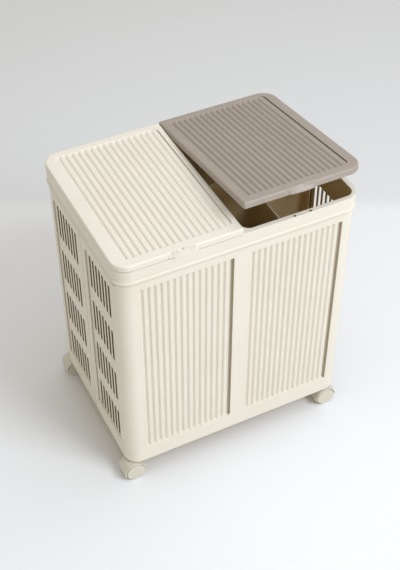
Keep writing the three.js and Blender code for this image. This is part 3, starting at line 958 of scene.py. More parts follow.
@dataclass
class BodyShells:
    """The two U-shaped shells of the body with fluted fronts and slotted sides."""

    envelope: Envelope
    inset: float = 3.0
    wall: float = 1.5
    bottom: float = 49.0
    top: float = 598.4
    foot_lip: float = 10.0
    foot_round: float = 1.5
    seam_gap: float = 0.5
    bend_chords: int = 14
    flutes_of: tuple[Grooves, Grooves] = (
        Grooves(15, 13.2, 11.5, 4.5, 2.2, 4.4, 0.6), Grooves(16, 12.72, 6.0, 4.5, 2.2, 4.4, 0.6),
    )
    panel_span: Flat = (17.7, 221.2)
    panel_height: Flat = (91.0, 551.0)
    flute_drop: float = 1.3
    flute_gap: float = 6.0
    flute_lap: Flat = (0.6, 1.0)
    column: Recess = Recess((21.5, 145.5), (93.0, 541.0), 3.0)
    slot_width: float = 8.4
    slot_corner: float = 2.4
    slot_pitch: float = 15.4
    slot_start: float = 37.3
    slot_count: int = 7
    slot_rows: tuple[Flat, ...] = ((96.0, 172.0), (209.0, 292.0), (329.0, 412.0), (449.0, 535.0))
    overlap: float = 14.0
    guide: Flat = (1.55, 3.55)
    guide_depth: float = 8.0
    guide_height: Flat = (85.5, 535.0)
    boss: Spot = (237.5, 168.0, 8.3)
    boss_height: Flat = (30.0, 70.0)
    edge: float = 0.45
    edge_limit: float = 40.0
    # Painted shade: bands under the rim's lip, their strength on the sides and the front, and the darker cheeks of the
    # slots.
    lip_shade: Spot = (562.2, 566.4, 569.6)
    shade_share: Flat = (0.9, 0.3)
    cheek_share: float = 0.6

    @property
    def half_width(self) -> float:
        """Half the width over the outside of the walls."""
        return self.envelope.half_width - self.inset

    @property
    def half_depth(self) -> float:
        """Half the depth over the outside of the walls."""
        return self.envelope.half_depth - self.inset

    @property
    def pad(self) -> float:
        """Depth from the outside to the inner face behind a recess of the side."""
        return self.column.depth + self.wall

    @property
    def panel(self) -> Recess:
        """The recess that the flutes sit in."""
        grooves = self.flutes_of[0]
        return Recess(self.panel_span, self.panel_height, self.flute_drop + grooves.depth + grooves.sole / 2)

    def _stations(self) -> list[tuple]:
        """Lists the upright lines of the wall, from the left seam round the front to the right seam.

        Returns:
            (place, way out, recess, coordinate for the recess tests) of each line.
        """
        corner, wall = self.envelope.corner - self.inset, self.wall
        straight, deep = self.half_width - corner, self.half_depth - corner
        first = self.slot_start - self.slot_pitch / 2
        between = [first + k * self.slot_pitch for k in range(self.slot_count + 1)]
        side = stepped((self.seam_gap, *between, deep), self.column.jumps(self.column.span, wall))
        half = stepped((0.0, straight), self.panel.jumps(self.panel.span, wall))
        front = [(-u, -t) for u, t in reversed(half) if u > 0] + half

        def flank(way: int) -> list[tuple]:
            """Lines of one side, from its seam to the front."""
            return [((way * self.half_width, -v), (float(way), 0.0), self.column, t) for v, t in side]

        def bend(way: int, start: float) -> list[tuple]:
            """Lines of one front corner."""
            turns = arc(0, 0, 1, start, start + 90, self.bend_chords)[1:-1]
            return [((way * straight + corner * x, corner * y - deep), (x, y), Recess(), 0.0) for x, y in turns]

        face = [((u, -self.half_depth), (0.0, -1.0), self.panel, t) for u, t in front]
        return flank(-1) + bend(-1, 180) + face + bend(1, 270) + flank(1)[::-1]

    def _rows(self) -> list[Flat]:
        """Lists the heights of the wall.

        Returns:
            (height, height for the recess tests) of each row, from the bottom.
        """
        middles = [(a[1] + b[0]) / 2 for a, b in zip(self.slot_rows, self.slot_rows[1:])]
        jumps = [z for recess in (self.panel, self.column) for z in recess.jumps(recess.height, self.wall)]
        return stepped([self.bottom + self.wall, *self.lip_shade, self.top, *middles], jumps)

    def _loop(self, place: Flat, way: Flat, recess: Recess, across: float, rows: Sequence[Flat]) -> list[Spot]:
        """Section of the wall at one upright line, down the outside and up the inside.

        Args:
            place: the line's place on the outside.
            way: direction out of the wall.
            recess: the sunk field of this part of the wall.
            across: coordinate for the recess tests.
            rows: heights from the bottom.

        Returns:
            The closed section.
        """
        wall, foot = self.wall, self.bottom + self.foot_round

        def spot(depth: float, z: float) -> Spot:
            """Point at a depth under the outer face."""
            return (place[0] - way[0] * depth, place[1] - way[1] * depth, z)

        loop = [spot(recess.at(across, t), z) for z, t in reversed(rows) if z > foot]
        loop += [spot(inward, self.bottom + left) for inward, left in quarter(self.foot_round)]
        loop += [spot(self.foot_lip, self.bottom), spot(self.foot_lip, self.bottom + wall)]
        return loop + [spot(recess.at(across, t, wall) + wall, z) for z, t in rows]

    def _extras(self, draft: Draft) -> None:
        """Adds the guide ribs of the partition and the lap of the seam.

        Args:
            draft: takes them.
        """
        wall, hx, hy = self.wall, self.half_width, self.half_depth
        near, far = self.guide
        for span in ((-far, -near), (near, far)):
            draft.block(span, (wall / 2 - hy, wall + self.guide_depth - hy), self.guide_height)
        lap_out, lap_in = hx - wall - FIT, hx - 2 * wall - FIT
        draft.block((lap_in, lap_out), (-self.overlap, self.overlap), self.column.height)
        draft.block((lap_in, hx - wall / 2), (-self.overlap, -FIT / 2), self.column.height)

    def shell(self, end: End, slots: SlotBank, material: bpy.types.Material) -> bpy.types.Object:
        """Makes one shell without its flutes.

        Args:
            end: front or back.
            slots: the tree that cuts the slots.
            material: its finish.

        Returns:
            The piece.
        """
        walls, clear, extras = Draft(), Draft(), Draft()
        rows = self._rows()
        walls.tube([self._loop(*station, rows) for station in self._stations()])
        made = walls.piece(f"body_shell_{end.label}", material)
        for low, high in self.slot_rows:
            for side in (-1, 1):
                first = (side * (self.half_width - self.pad / 2), -self.slot_start, (low + high) / 2)
                slots.put(
                    made, Count=self.slot_count, Pitch=-self.slot_pitch * MM, First=[c * MM for c in first],
                    Width=self.slot_width * MM, Height=(high - low) * MM, Corner=self.slot_corner * MM,
                    Reach=4 * self.pad * MM, Material=material,
                )
        for side in (-1, 1):
            clear.prism(circle(side * self.boss[0], -self.boss[1], self.boss[2]), *self.boss_height)
        carved(made, clear.piece("boss_clearance", material))
        self._extras(extras)
        welded(made, extras.piece("shell_extras", material))
        softened(made, self.edge, self.edge_limit)
        # Painted shade on the inner faces, the slots' cheeks, the recesses and under the rim's lip.
        marked(made, self._inside)
        marked(made, self._creased, "crease")
        made.data.transform(Matrix.Rotation(math.radians(end.value), 4, "Z"))
        return made

    def _inside(self, centre: Vector, normal: Vector) -> float:
        """Says how strongly painted shade darkens a face of the front shell: its inner faces in full, the cheeks of the
        slots in part.

        Args:
            centre: the face's centre.
            normal: the face's normal.

        Returns:
            The strength of the mark.
        """
        deep, out = self.envelope.skin(centre)
        facing = normal.x * out.x + normal.y * out.y
        if facing < -0.4:
            return float(deep > self.inset + 1.2)
        return self.cheek_share * (facing < 0.4 and deep > self.inset + 3.1)

    def _creased(self, centre: Vector, normal: Vector) -> float:
        """Says how strongly painted shade darkens a face of the front shell: the walls and floors of the recesses, and
        a band of painted shadow under the rim's lip.

        Args:
            centre: the face's centre.
            normal: the face's normal.

        Returns:
            The strength of the mark.
        """
        deep, out = self.envelope.skin(centre)
        facing = normal.x * out.x + normal.y * out.y
        if deep < self.inset + 0.5 and facing > 0.5:
            low, middle, high = self.lip_shade
            if abs(out.x) > 0.9:
                return self.shade_share[0] * (low < centre.z < middle)
            return self.shade_share[1] * (middle < centre.z < high)
        if self.panel.at(centre.x, centre.z):
            return float(deep < self.inset + 6.6 and (facing > 0.5 or abs(normal.x) > 0.5))
        return float(facing < 0.4 and abs(normal.y) > 0.5 and abs(out.x) > 0.9 and deep < self.inset + self.pad)

    def flutes(self, end: End, ribs: GroovedPanel, material: bpy.types.Material) -> list[bpy.types.Object]:
        """Makes the two rows of flutes of one shell.

        Args:
            end: front or back.
            ribs: the tree that makes the rows.
            material: their finish.

        Returns:
            The pieces, left first.
        """
        (inner, outer), (low, high) = self.panel_span, self.panel_height
        size = (outer - inner - self.flute_gap + self.flute_lap[0], high - low + self.flute_lap[1])
        turned = Matrix.Rotation(math.radians(end.value), 4, "Z")
        made = []
        for side, row in zip(Side, self.flutes_of):
            middle = (side.value * (inner + outer) - self.flute_gap) / 2
            sit = Matrix.Translation((middle, self.flute_drop + row.thick - self.half_depth, (low + high) / 2))
            place = turned @ sit @ Matrix.Rotation(math.pi / 2, 4, "X")
            made.append(ribs.panel(f"flutes_{end.label}_{side.label}", row, size, material, place))
        return made


@dataclass
class Collar:
    """The rim moulding with two mouths, their skirts, the hinge lugs and the slits of the catches."""

    envelope: Envelope
    wall: float = 2.6
    lip: float = 4.0
    proud: float = 0.8
    edge: float = 1.0
    mouth_edge: float = 1.2
    corner: float = 18.0
    skirt: float = 1.6
    skirt_bottom: float = 535.0
    lug: float = 6.0
    lug_foot: float = 18.0
    lug_edge: float = 0.6
    stop: Flat = (7.4, 4.0)
    slit: Spot = (128.0, 183.5, 36.0)
    slit_width: float = 4.6
    slit_eye: float = 2.7
    # Painted shade along the seam under the closed lid, near the front.
    seam_share: float = 0.5
    seam_back: float = 12.0
    waist: float = 0.9

    def _outline(self, side: int, grow: float, z: float) -> list[Spot]:
        """Half outline of the collar on one side of the middle.

        Args:
            side: -1 or 1.
            grow: distance outwards from the collar's face.
            z: height.

        Returns:
            The ring.
        """
        hx, hy = self.envelope.half_width + grow, self.envelope.half_depth + grow
        outer = self.envelope.corner + grow
        return [(side * x, y, z) for x, y in rounded_box(0.0, hx, -hy, hy, (outer, outer, 0.0, 0.0))]

    def _mouth(self, side: int, grow: float, z: float) -> list[Spot]:
        """Outline of one mouth.

        Args:
            side: -1 or 1.
            grow: distance outwards from the mouth's wall.
            z: height.

        Returns:
            The ring.
        """
        size = self.envelope
        flat = rounded_box(
            size.beam_half - grow, size.half_width - size.mouth_side + grow,
            size.mouth_front - size.half_depth - grow, size.half_depth - size.mouth_back + grow,
            [self.corner + grow] * 4,
        )
        return [(side * x, y, z) for x, y in flat]

    def _half(self, draft: Draft, side: int) -> None:
        """Adds one half of the collar, open along the middle where the halves meet.

        Args:
            draft: takes it.
            side: -1 or 1.
        """
        size, proud, waist = self.envelope, self.proud, self.waist
        top, flange, low, foot = size.collar_top, size.collar_top - size.flange, size.collar_bottom, self.skirt_bottom
        ledge = low + self.lip
        mouth = [(0.0, foot + 0.5)] + [(cut, top - left) for cut, left in quarter(self.mouth_edge)]
        outside = [(-cut, top - left) for cut, left in reversed(quarter(self.edge))]
        outside += [
            (-waist, ledge + 2.2), (0.2 - waist, ledge + 1.7), (proud - 0.1, ledge), (proud, ledge - 0.4),
            (proud, low + 0.6), (proud * 0.2, low), (-self.wall, low), (-self.wall, flange),
        ]
        skirt = [(self.skirt, flange), (self.skirt, foot + 0.5), (self.skirt / 2, foot)]
        rings = [draft.ring(self._mouth(side, grow, z)) for grow, z in mouth]
        rings += [draft.ring(self._outline(side, grow, z)) for grow, z in outside]
        rings += [draft.ring(self._mouth(side, grow, z)) for grow, z in skirt]
        along_middle = 3 * (CORNER_CHORDS + 1) - 1
        for index, (a, b) in enumerate(zip(rings, rings[1:] + rings[:1])):
            within = len(mouth) <= index < len(mouth) + len(outside) - 1
            draft.bridge(a, b, along_middle if within else -1)

    def _lugs(self, draft: Draft, x: float) -> None:
        """Adds the two lugs of one hinge.

        Args:
            draft: takes them.
            x: middle of the hinge.
        """
        size = self.envelope
        (hinge_y, hinge_z), barrel = size.hinge, size.barrel
        rear, rise = hinge_y + self.stop[0], self.stop[1]
        wall_y, top = size.half_depth - self.wall / 2, size.collar_top - FIT
        flat = [
            (wall_y, hinge_z - self.lug_foot), (rear - 2.0, hinge_z - rise - 2.4), (rear, hinge_z - rise),
            (rear, hinge_z - 1.2), (hinge_y + barrel * 0.72, hinge_z + barrel * 0.6),
            *arc(hinge_y, hinge_z, barrel, 90, 180, 6), (hinge_y - barrel, top), (wall_y, top),
        ]
        for start in (x + size.knuckle / 2 + FIT, x - size.knuckle / 2 - FIT - self.lug):
            draft.tube([[(start + along, y, z) for y, z in flat] for along in (0.0, self.lug)])

    def build(self, material: bpy.types.Material) -> bpy.types.Object:
        """Makes the collar.

        Args:
            material: its finish.

        Returns:
            The piece.
        """
        body, slits, eyes, lugs = Draft(), Draft(), Draft(), Draft()
        x, y, length = self.slit
        low, high = self.envelope.collar_top - self.envelope.flange - 1, self.envelope.collar_top + 4
        for side in (-1, 1):
            self._half(body, side)
            slits.prism(stadium(side * x, -y, length / 2, self.slit_width / 2, 6), low, high)
            for at in (side * x - length / 2, side * x + length / 2):
                eyes.prism(circle(at, -y, self.slit_eye), low + 0.1, high + 0.1)
            for place in self.envelope.hinge_places(side):
                self._lugs(lugs, place)
        made = body.piece("collar_rim", material)
        carved(made, slits.piece("slit_cutter", material))
        carved(made, eyes.piece("eye_cutter", material))
        welded(made, softened(lugs.piece("hinge_lugs", material), self.lug_edge))
        # Painted shade on the mouths' walls and the hollow behind the rim, and along the seam under the lid.
        marked(softened(made), self._inside)
        return marked(made, self._seamed, "crease")

    def _inside(self, centre: Vector, normal: Vector) -> float:
        """Says whether painted shade darkens a face: a mouth's wall or the hollow behind the rim."""
        depth, _ = self.envelope.skin(centre)
        return float(centre.z < self.envelope.collar_top - 0.7 and depth > self.wall - 0.1 and normal.z < 0.7)

    def _seamed(self, centre: Vector, normal: Vector) -> float:
        """Says how strongly painted shade darkens a face in the seam under the closed lid, near the front.

        Args:
            centre: the face's centre.
            normal: the face's normal, which plays no part.

        Returns:
            The strength of the mark.
        """
        depth, _ = self.envelope.skin(centre)
        top, front = self.envelope.collar_top, self.seam_back - self.envelope.half_depth
        high = top - 0.9 < centre.z < top + 0.1
        return self.seam_share * (depth < 1.6 and high and centre.x < -FIT and centre.y < front)


@dataclass
class Lid:
    """One lid: a shallow cap with a rounded edge, a sunk field of ribs, a finger tab and two knuckles."""

    envelope: Envelope
    side: Side
    open_angle: float = 0.0
    edge: float = 3.6
    edge_chords: int = 8
    centre_corner: float = 4.0
    shadow_gap: float = 0.9
    field_x: Flat = (12.4, 238.4)
    field_front: float = 21.0
    field_back: float = 16.0
    field_corner: float = 11.0
    field_gap: float = 2.8
    # Painted shade on the field's side wall, weaker on the left lid than on the right.
    field_shades: Flat = (0.1, 1.0)
    rows: tuple[Grooves, Grooves] = (
        Grooves(16, 13.45, 12.0, 4.7, 2.6, 3.9, 0.8), Grooves(17, 12.43, 11.0, 4.7, 2.6, 3.6, 0.8),
    )
    rib_drop: float = 1.4
    rib_lap: float = 0.4
    tab_middle: float = 125.0
    tab_length: float = 60.0
    tab_reach: float = 4.9
    tab_cut: float = 3.4
    tab_power: float = 0.6
    tab_steps: int = 36
    tab_bottom: float = 1.4
    tab_rim: float = 2.2
    tab_fall: float = 1.2
    tab_room: float = 3.0
    tab_root: float = 1.5
    # Painted shade on the tab's sloping face, and a painted shadow under its end.
    tab_shades: Flat = (0.42, 0.9)
    tab_edge: float = 0.35
    knuckle_edge: float = 0.5

    @property
    def grooves(self) -> Grooves:
        """The grooves of this side's lid."""
        return self.rows[self.side is Side.RIGHT]

    def _outline(self, inset: float, z: float) -> list[Spot]:
        """Outline of the cap.

        Args:
            inset: distance inwards from its outer face.
            z: height.

        Returns:
            The ring of the right lid.
        """
        size = self.envelope
        outer, inner = size.corner - inset, max(self.centre_corner - inset, 0.4)
        return at_height(rounded_box(
            FIT + inset, size.half_width - inset, inset - size.half_depth, size.half_depth - inset,
            (outer, outer, inner, inner),
        ), z)

    def _field(self, inset: float, z: float) -> list[Spot]:
        """Outline of the sunk field.

        Args:
            inset: distance inwards from its edge.
            z: height.

        Returns:
            The ring.
        """
        (x0, x1), half_depth = self.field_x, self.envelope.half_depth
        return at_height(rounded_box(
            x0 + inset, x1 - inset, self.field_front - half_depth + inset, half_depth - self.field_back - inset,
            [self.field_corner - inset] * 4,
        ), z)

    def _cap(self) -> Draft:
        """Makes the cap with its sunk field and its hollow underside.

        Returns:
            The draft.
        """
        size, grooves = self.envelope, self.grooves
        top, bottom = size.lid_top, size.collar_top + self.shadow_gap
        floor = top - self.rib_drop - grooves.depth - grooves.sole / 2
        steps = [
            (size.wall, floor - size.wall), (size.wall, bottom + 0.5), (size.wall - 0.5, bottom),
            (0.4, bottom), (0.1, bottom + 0.1), (0.0, bottom + 0.4),
            *((cut, top - left) for cut, left in quarter(self.edge, self.edge_chords)),
        ]
        sunk = [(-0.7, top), (-0.3, top - 0.12), (0.0, top - 0.6), (0.15, floor)]
        draft = Draft()
        draft.tube([self._outline(*step) for step in steps] + [self._field(*step) for step in sunk])
        return draft

    def _tab(self, keep: bool) -> Draft:
        """Makes the finger tab, a lens that slopes from the top of the lid to a lip before its front.

        Args:
            keep: true for the tab's own body, false for the room that is cut away above it.

        Returns:
            The draft.
        """
        size, room = self.envelope, self.tab_room
        top, front = size.lid_top, -size.half_depth
        low, root = size.collar_top + self.tab_bottom, front + self.tab_root
        rings = []
        for step in range(self.tab_steps + 1):
            u = math.cos(math.pi * step / self.tab_steps)
            swell = max(1.0 - u * u, 0.0) ** self.tab_power
            x = self.tab_middle - u * self.tab_length / 2
            head = (front + self.tab_cut * swell + 0.05, top + 0.02 - self.tab_fall * (1 - swell))
            lip = (front - 0.1 - (self.tab_reach - 0.1) * swell, low + self.tab_rim)
            if keep:
                section = [head, lip, (lip[0], low), (root, low), (root, top - self.tab_rim - 2)]
            else:
                section = [head, (head[0], top + room), (lip[0] - room, top + room), (lip[0] - room, lip[1]), lip]
            rings.append([(x, y, z) for y, z in section])
        draft = Draft()
        draft.tube(rings)
        return draft

    def _knuckles(self) -> Draft:
        """Makes the two knuckles and their arms.

        Returns:
            The draft.
        """
        size, draft = self.envelope, Draft()
        (hinge_y, hinge_z), wall_y = size.hinge, size.half_depth - size.wall / 2
        for x in size.hinge_places(1):
            x0, x1 = x - size.knuckle / 2, x + size.knuckle / 2
            walls = (size.bore, x0), (size.barrel, x0), (size.barrel, x1), (size.bore, x1)
            draft.tube([[(at, y, z) for y, z in circle(hinge_y, hinge_z, radius)] for radius, at in walls], True)
            draft.block((x0, x1), (wall_y, hinge_y - size.bore - 0.6), (hinge_z, hinge_z + size.barrel))
        return draft

    def _placing(self) -> Matrix:
        """Turn from the closed right lid to this lid's place, in millimetres.

        Returns:
            The placing matrix.
        """
        there = Matrix.Translation((0, *self.envelope.hinge))
        mirror = Matrix.Scale(-1, 4, (1, 0, 0)) if self.side is Side.LEFT else Matrix.Identity(4)
        return there @ Matrix.Rotation(math.radians(-self.open_angle), 4, "X") @ there.inverted() @ mirror

    def build(self, ribs: GroovedPanel, material: bpy.types.Material) -> list[bpy.types.Object]:
        """Makes the lid.

        Args:
            ribs: the tree that makes the rows of ribs.
            material: its finish.

        Returns:
            The cap and its row of ribs.
        """
        size, grooves, place, lap = self.envelope, self.grooves, self._placing(), self.rib_lap
        cap = self._cap().piece(f"lid_cap_{self.side.label}", material, place)
        carved(cap, self._tab(False).piece("tab_room", material, place))
        welded(cap, softened(self._knuckles().piece("lid_trim", material, place), self.knuckle_edge))
        welded(cap, softened(self._tab(True).piece("finger_tab", material, place), self.tab_edge))
        # Painted shade on the field's wall and the tab.
        marked(softened(cap), self._creased, "crease")
        x0, x1 = self.field_x
        if self.side is Side.LEFT:
            x0 += self.field_gap + lap
        else:
            x1 -= self.field_gap + lap
        y0, y1 = self.field_front - size.half_depth, size.half_depth - self.field_back
        middle = ((x0 + x1) / 2, (y0 + y1) / 2, size.lid_top - self.rib_drop - grooves.thick)
        span = (x1 - x0 + 2 * lap, y1 - y0 + 2 * lap)
        name = f"lid_ribs_{self.side.label}"
        return [cap, ribs.panel(name, grooves, span, material, place @ Matrix.Translation(middle))]

    def _creased(self, centre: Vector, normal: Vector) -> float:
        """Says how strongly painted shade darkens a face of the placed lid: the field's wall on the right, or a part of
        the tab.

        Args:
            centre: the face's centre.
            normal: the face's normal.

        Returns:
            The strength of the mark.
        """
        across, (low, high) = abs(centre.x), self.field_x
        if centre.y < 1.0 - self.envelope.half_depth and abs(across - self.tab_middle) < self.tab_length / 2 + 1:
            if 0.4 < normal.z < 0.8 and normal.y < -0.6:
                return self.tab_shades[0]
            return self.tab_shades[1] * (normal.x < -0.15 and normal.y < -0.1 and abs(normal.z) < 0.3)
        if normal.x > -0.5 or across < low - 1 or across > high + 1:
            return 0.0
        within = across < low + 3 if self.side is Side.LEFT else across > high - self.field_corner
        return self.field_shades[self.side is Side.RIGHT] * (within and normal.z < 0.5)


@dataclass
class BaseTray:
    """The floor of the body: a shallow tray with four bosses for the caster stems."""

    half_x: float = 254.4
    half_y: float = 182.4
    corner: float = 27.4
    wall: float = 2.2
    bottom: float = 52.5
    rim: float = 85.0
    underside: float = 57.0
    floor: float = 59.5
    fillet: float = 4.0
    boss: Spot = (237.5, 168.0, 8.0)
    boss_height: Flat = (50.6, 84.0)
    boss_chords: int = 32
    bore: Flat = (4.1, 78.3)

    def _ring(self, inset: float, z: float) -> list[Spot]:
        """Outline of the tray at an inset and a height."""
        hx, hy = self.half_x - inset, self.half_y - inset
        return at_height(rounded_box(-hx, hx, -hy, hy, [self.corner - inset] * 4), z)

    def build(self, material: bpy.types.Material) -> bpy.types.Object:
        """Makes the tray.

        Args:
            material: its finish.

        Returns:
            The piece.
        """
        shell, posts, wall, top = Draft(), Draft(), self.wall, self.rim
        steps = [
            (wall, self.underside), (wall, self.bottom + 0.4), (wall - 0.4, self.bottom), (0.4, self.bottom),
            (0.0, self.bottom + 0.4), (0.0, top - 0.5), (0.5, top), (wall - 0.5, top), (wall, top - 0.5),
            *((wall + cut, self.floor + left) for cut, left in quarter(self.fillet)),
        ]
        shell.tube([self._ring(*step) for step in steps])
        (low, high), (bore, depth), (far_x, far_y, post) = self.boss_height, self.bore, self.boss
        profile = [
            (0.0, depth), (bore, depth), (bore, low), (post, low), (post, high - 1.2),
            (post - 0.4, high - 0.4), (post - 1.2, high), (0.0, high),
        ]
        for x in (-far_x, far_x):
            for y in (-far_y, far_y):
                posts.lathe(profile, lambda u, v, w, x=x, y=y: (x + u, y + v, w), self.boss_chords)
        tray = welded(shell.piece("bin_floor_tray", material), posts.piece("tray_bosses", material))
        # Painted shade: the whole tray is darkened as lying inside the hamper.
        return marked(softened(tray))


@dataclass
class InnerWalls:
    """The centre partition and the divider of the right bin."""

    sheet: float = 2.5
    edge: float = 0.6
    partition_y: float = 179.7
    foot: float = 59.8
    partition_top: float = 602.7
    cross_x: Flat = (6.3, 248.7)
    cross_top: float = 580.0
    split_x: float = 127.5
    split_top: float = 532.0
    split_front: float = -176.7
    bend: float = 26.0
    bend_chords: int = 12
    end_bend: float = 16.0
    end_chords: int = 10
    split_chords: int = 14
    leg: float = 8.0

    def partition(self, material: bpy.types.Material) -> bpy.types.Object:
        """Makes the upright sheet between the bins.

        Args:
            material: its finish.

        Returns:
            The piece.
        """
        draft, half = Draft(), self.sheet / 2
        draft.block((-half, half), (-self.partition_y, self.partition_y), (self.foot, self.partition_top))
        # Painted shade: the whole partition is darkened as lying inside the hamper.
        return marked(softened(draft.piece("bin_partition", material), self.edge))

    def _cross_outline(self) -> list[Flat]:
        """Plan of the cross wall with its two bent ends.

        Returns:
            The outline.
        """
        (x0, x1), sheet, left, right = self.cross_x, self.sheet, self.bend, self.end_bend
        y1 = sheet / 2
        low, far = y1 - left, y1 - right
        return [
            (x0, low - self.leg), (x0 + sheet, low - self.leg),
            *arc(x0 + left, low, left - sheet, 180, 90, self.bend_chords),
            *arc(x1 - right, far, right - sheet, 90, 0, self.end_chords),
            (x1 - sheet, far - self.leg), (x1, far - self.leg),
            *arc(x1 - right, far, right, 0, 90, self.end_chords), *arc(x0 + left, low, left, 90, 180, self.bend_chords),
        ]

    def divider(self, material: bpy.types.Material) -> bpy.types.Object:
        """Makes the divider: the cross wall, the lower wall to the front and the bends where they meet.

        Args:
            material: its finish.

        Returns:
            The piece.
        """
        draft, half, x = Draft(), self.sheet / 2, self.split_x
        draft.prism(self._cross_outline(), self.foot, self.cross_top)
        cx, cy, steps = x + half + self.bend, -half - self.bend, self.split_chords
        band = arc(cx, cy, self.bend + self.sheet, 90, 180, steps) + arc(cx, cy, self.bend, 180, 90, steps)
        for outline in (band, [(2 * x - u, v) for u, v in band]):
            draft.prism(outline, self.foot, self.split_top)
        draft.block((x - half, x + half), (self.split_front, cy), (self.foot, self.split_top))
        made = softened(draft.piece("right_bin_walls", material), self.edge)
        # Painted shade on all but its upward faces, as lying inside the hamper.
        return marked(made, lambda centre, normal: normal.z < 0.3)


@dataclass
class RimCatch:
    """The pale strip in the slit of the front rim."""

    side: Side
    place: Flat = (128.0, -182.3)
    half: float = 14.8
    across: float = 1.0
    top: float = 605.9
    base_back: float = 2.7
    base: Flat = (598.7, 602.7)
    sunk: float = 0.3
    chords: int = 8
    edge: float = 0.35

    def build(self, material: bpy.types.Material) -> bpy.types.Object:
        """Makes the catch.

        Args:
            material: its finish.

        Returns:
            The piece.
        """
        draft, x, y, half = Draft(), self.side.value * self.place[0], self.place[1], self.half
        draft.prism(stadium(x, y, half, self.across, self.chords), self.base[1] - self.sunk, self.top)
        draft.block((x - half, x + half), (y - self.across, y + self.base_back), self.base)
        return softened(draft.piece(f"rim_strip_{self.side.label}", material), self.edge)


@dataclass
class HingePin:
    """A steel pin with a low domed head."""

    hinge: Flat
    radius: float = 2.0
    half: float = 13.6
    head: Flat = (3.4, 1.4)
    chords: int = 28

    def build(self, name: str, x: float, material: bpy.types.Material) -> bpy.types.Object:
        """Makes one pin.

        Args:
            name: name of the piece.
            x: middle of its hinge.
            material: its finish.

        Returns:
            The piece.
        """
        draft, (y, z), (wide, thick), pin, end = Draft(), self.hinge, self.head, self.radius, self.half
        profile = [
            (0.0, end), (pin - 0.4, end), (pin, end - 0.4), (pin, -end), (wide - 0.3, -end), (wide, -end - 0.3),
            (wide * 0.8, -end - thick * 0.75), (wide * 0.4, -end - thick), (0.0, -end - thick),
        ]
        draft.lathe(profile, lambda u, v, w: (x + w, y + u, z + v), self.chords)
        return softened(draft.piece(name, material))


@dataclass
class Caster:
    """A twin-wheel caster: a hooded housing on a stem, and two plain discs."""

    place: Flat
    trail: float = 6.5
    centre: float = 20.82
    wheel_radius: float = 20.8
    wheel_inner: float = 7.0
    wheel_thickness: float = 12.0
    wheel_chords: int = 64
    bore: Flat = (2.6, 9.0)
    groove: Spot = (6.0, 15.6, 1.2)
    dome: float = 0.6
    hood_radius: float = 24.98
    hood_wall: float = 2.4
    hood_half: float = 18.0
    hood_edge: float = 0.5
    hood_edge_limit: float = 40.0
    hood_chords: int = 40
    tail: float = 195.0
    web_half: float = 6.4
    web_sag: float = 20.0
    neck: Spot = (7.8, 41.5, 50.2)
    neck_chords: int = 36

    def _across(self, draft: Draft, outline: Sequence[Flat], half: float) -> None:
        """Adds a prism that runs along Y, from an outline in X and Z."""
        x, y = self.place
        draft.tube([[(x + u, y + way * half, w) for u, w in outline] for way in (-1, 1)])

    def housing(self, name: str, material: bpy.types.Material) -> bpy.types.Object:
        """Makes the housing.

        Args:
            name: name of the piece.
            material: its finish.

        Returns:
            The piece.
        """
        (x, y), outer, draft, neck = self.place, self.hood_radius, Draft(), Draft()
        wall, sag, steps = self.hood_wall, self.web_sag, self.hood_chords
        hood = arc(-self.trail, self.centre, outer, 0, self.tail, steps)
        hood += arc(-self.trail, self.centre, outer - wall, self.tail, 0, steps)
        self._across(draft, hood, self.hood_half)
        web = arc(-self.trail, self.centre, outer - wall / 2, -sag, 180 + sag, steps)
        self._across(draft, web, self.web_half)
        made = softened(draft.piece(name, material), self.hood_edge, self.hood_edge_limit)
        wide, low, top = self.neck
        profile = [
            (0.0, low), (wide + 2.2, low), (wide + 1.0, low + 3.1), (wide, low + 5.5), (wide, top - 0.6),
            (wide - 0.6, top), (0.0, top),
        ]
        neck.lathe(profile, lambda u, v, w: (x + u, y + v, w), self.neck_chords)
        return welded(made, softened(neck.piece("caster_neck", material)))

    def wheel(self, name: str, way: int, material: bpy.types.Material) -> bpy.types.Object:
        """Makes one wheel.

        Args:
            name: name of the piece.
            way: -1 for the disc towards the front, 1 for the other.
            material: its finish.

        Returns:
            The piece.
        """
        (x, y), (bore, depth), (near, far, sunk) = self.place, self.bore, self.groove
        rim, thick = self.wheel_radius, self.wheel_thickness
        profile = [
            (0.0, depth), (bore, depth), (bore, 0.0), (near, 0.0), (near + 0.6, sunk), (far - 0.6, sunk), (far, 0.0),
            (rim - 1.2, 0.0), (rim - 0.35, 0.35), (rim, 1.2), (rim, thick - 1.3), (rim - 0.25, thick - 0.75),
            (rim - 0.8, thick - self.dome + 0.1), (rim * 0.7, thick - 0.3), (rim * 0.35, thick - 0.08), (0.0, thick),
        ]
        draft = Draft()
        draft.lathe(profile, lambda u, v, w: (
            x - self.trail + u, y + way * (self.wheel_inner + w), self.centre + v,
        ), self.wheel_chords)
        return softened(draft.piece(name, material))


@dataclass(frozen=True)
class Softbox:
    """A square softbox: its place, what it faces, its edge in metres, its watts and its colour."""

    name: str
    at: Spot
    aim: Spot
    size: float
    power: float
    colour: Spot

    def hang(self) -> None:
        """Hangs the softbox."""
        light = bpy.data.lights.new(self.name, "AREA")
        light.shape, light.size = "SQUARE", self.size
        light.energy, light.color = self.power, self.colour
        lamp = linked(self.name, light)
        lamp.location = self.at
        lamp.rotation_euler = (Vector(self.aim) - Vector(self.at)).to_track_quat("-Z", "Y").to_euler()


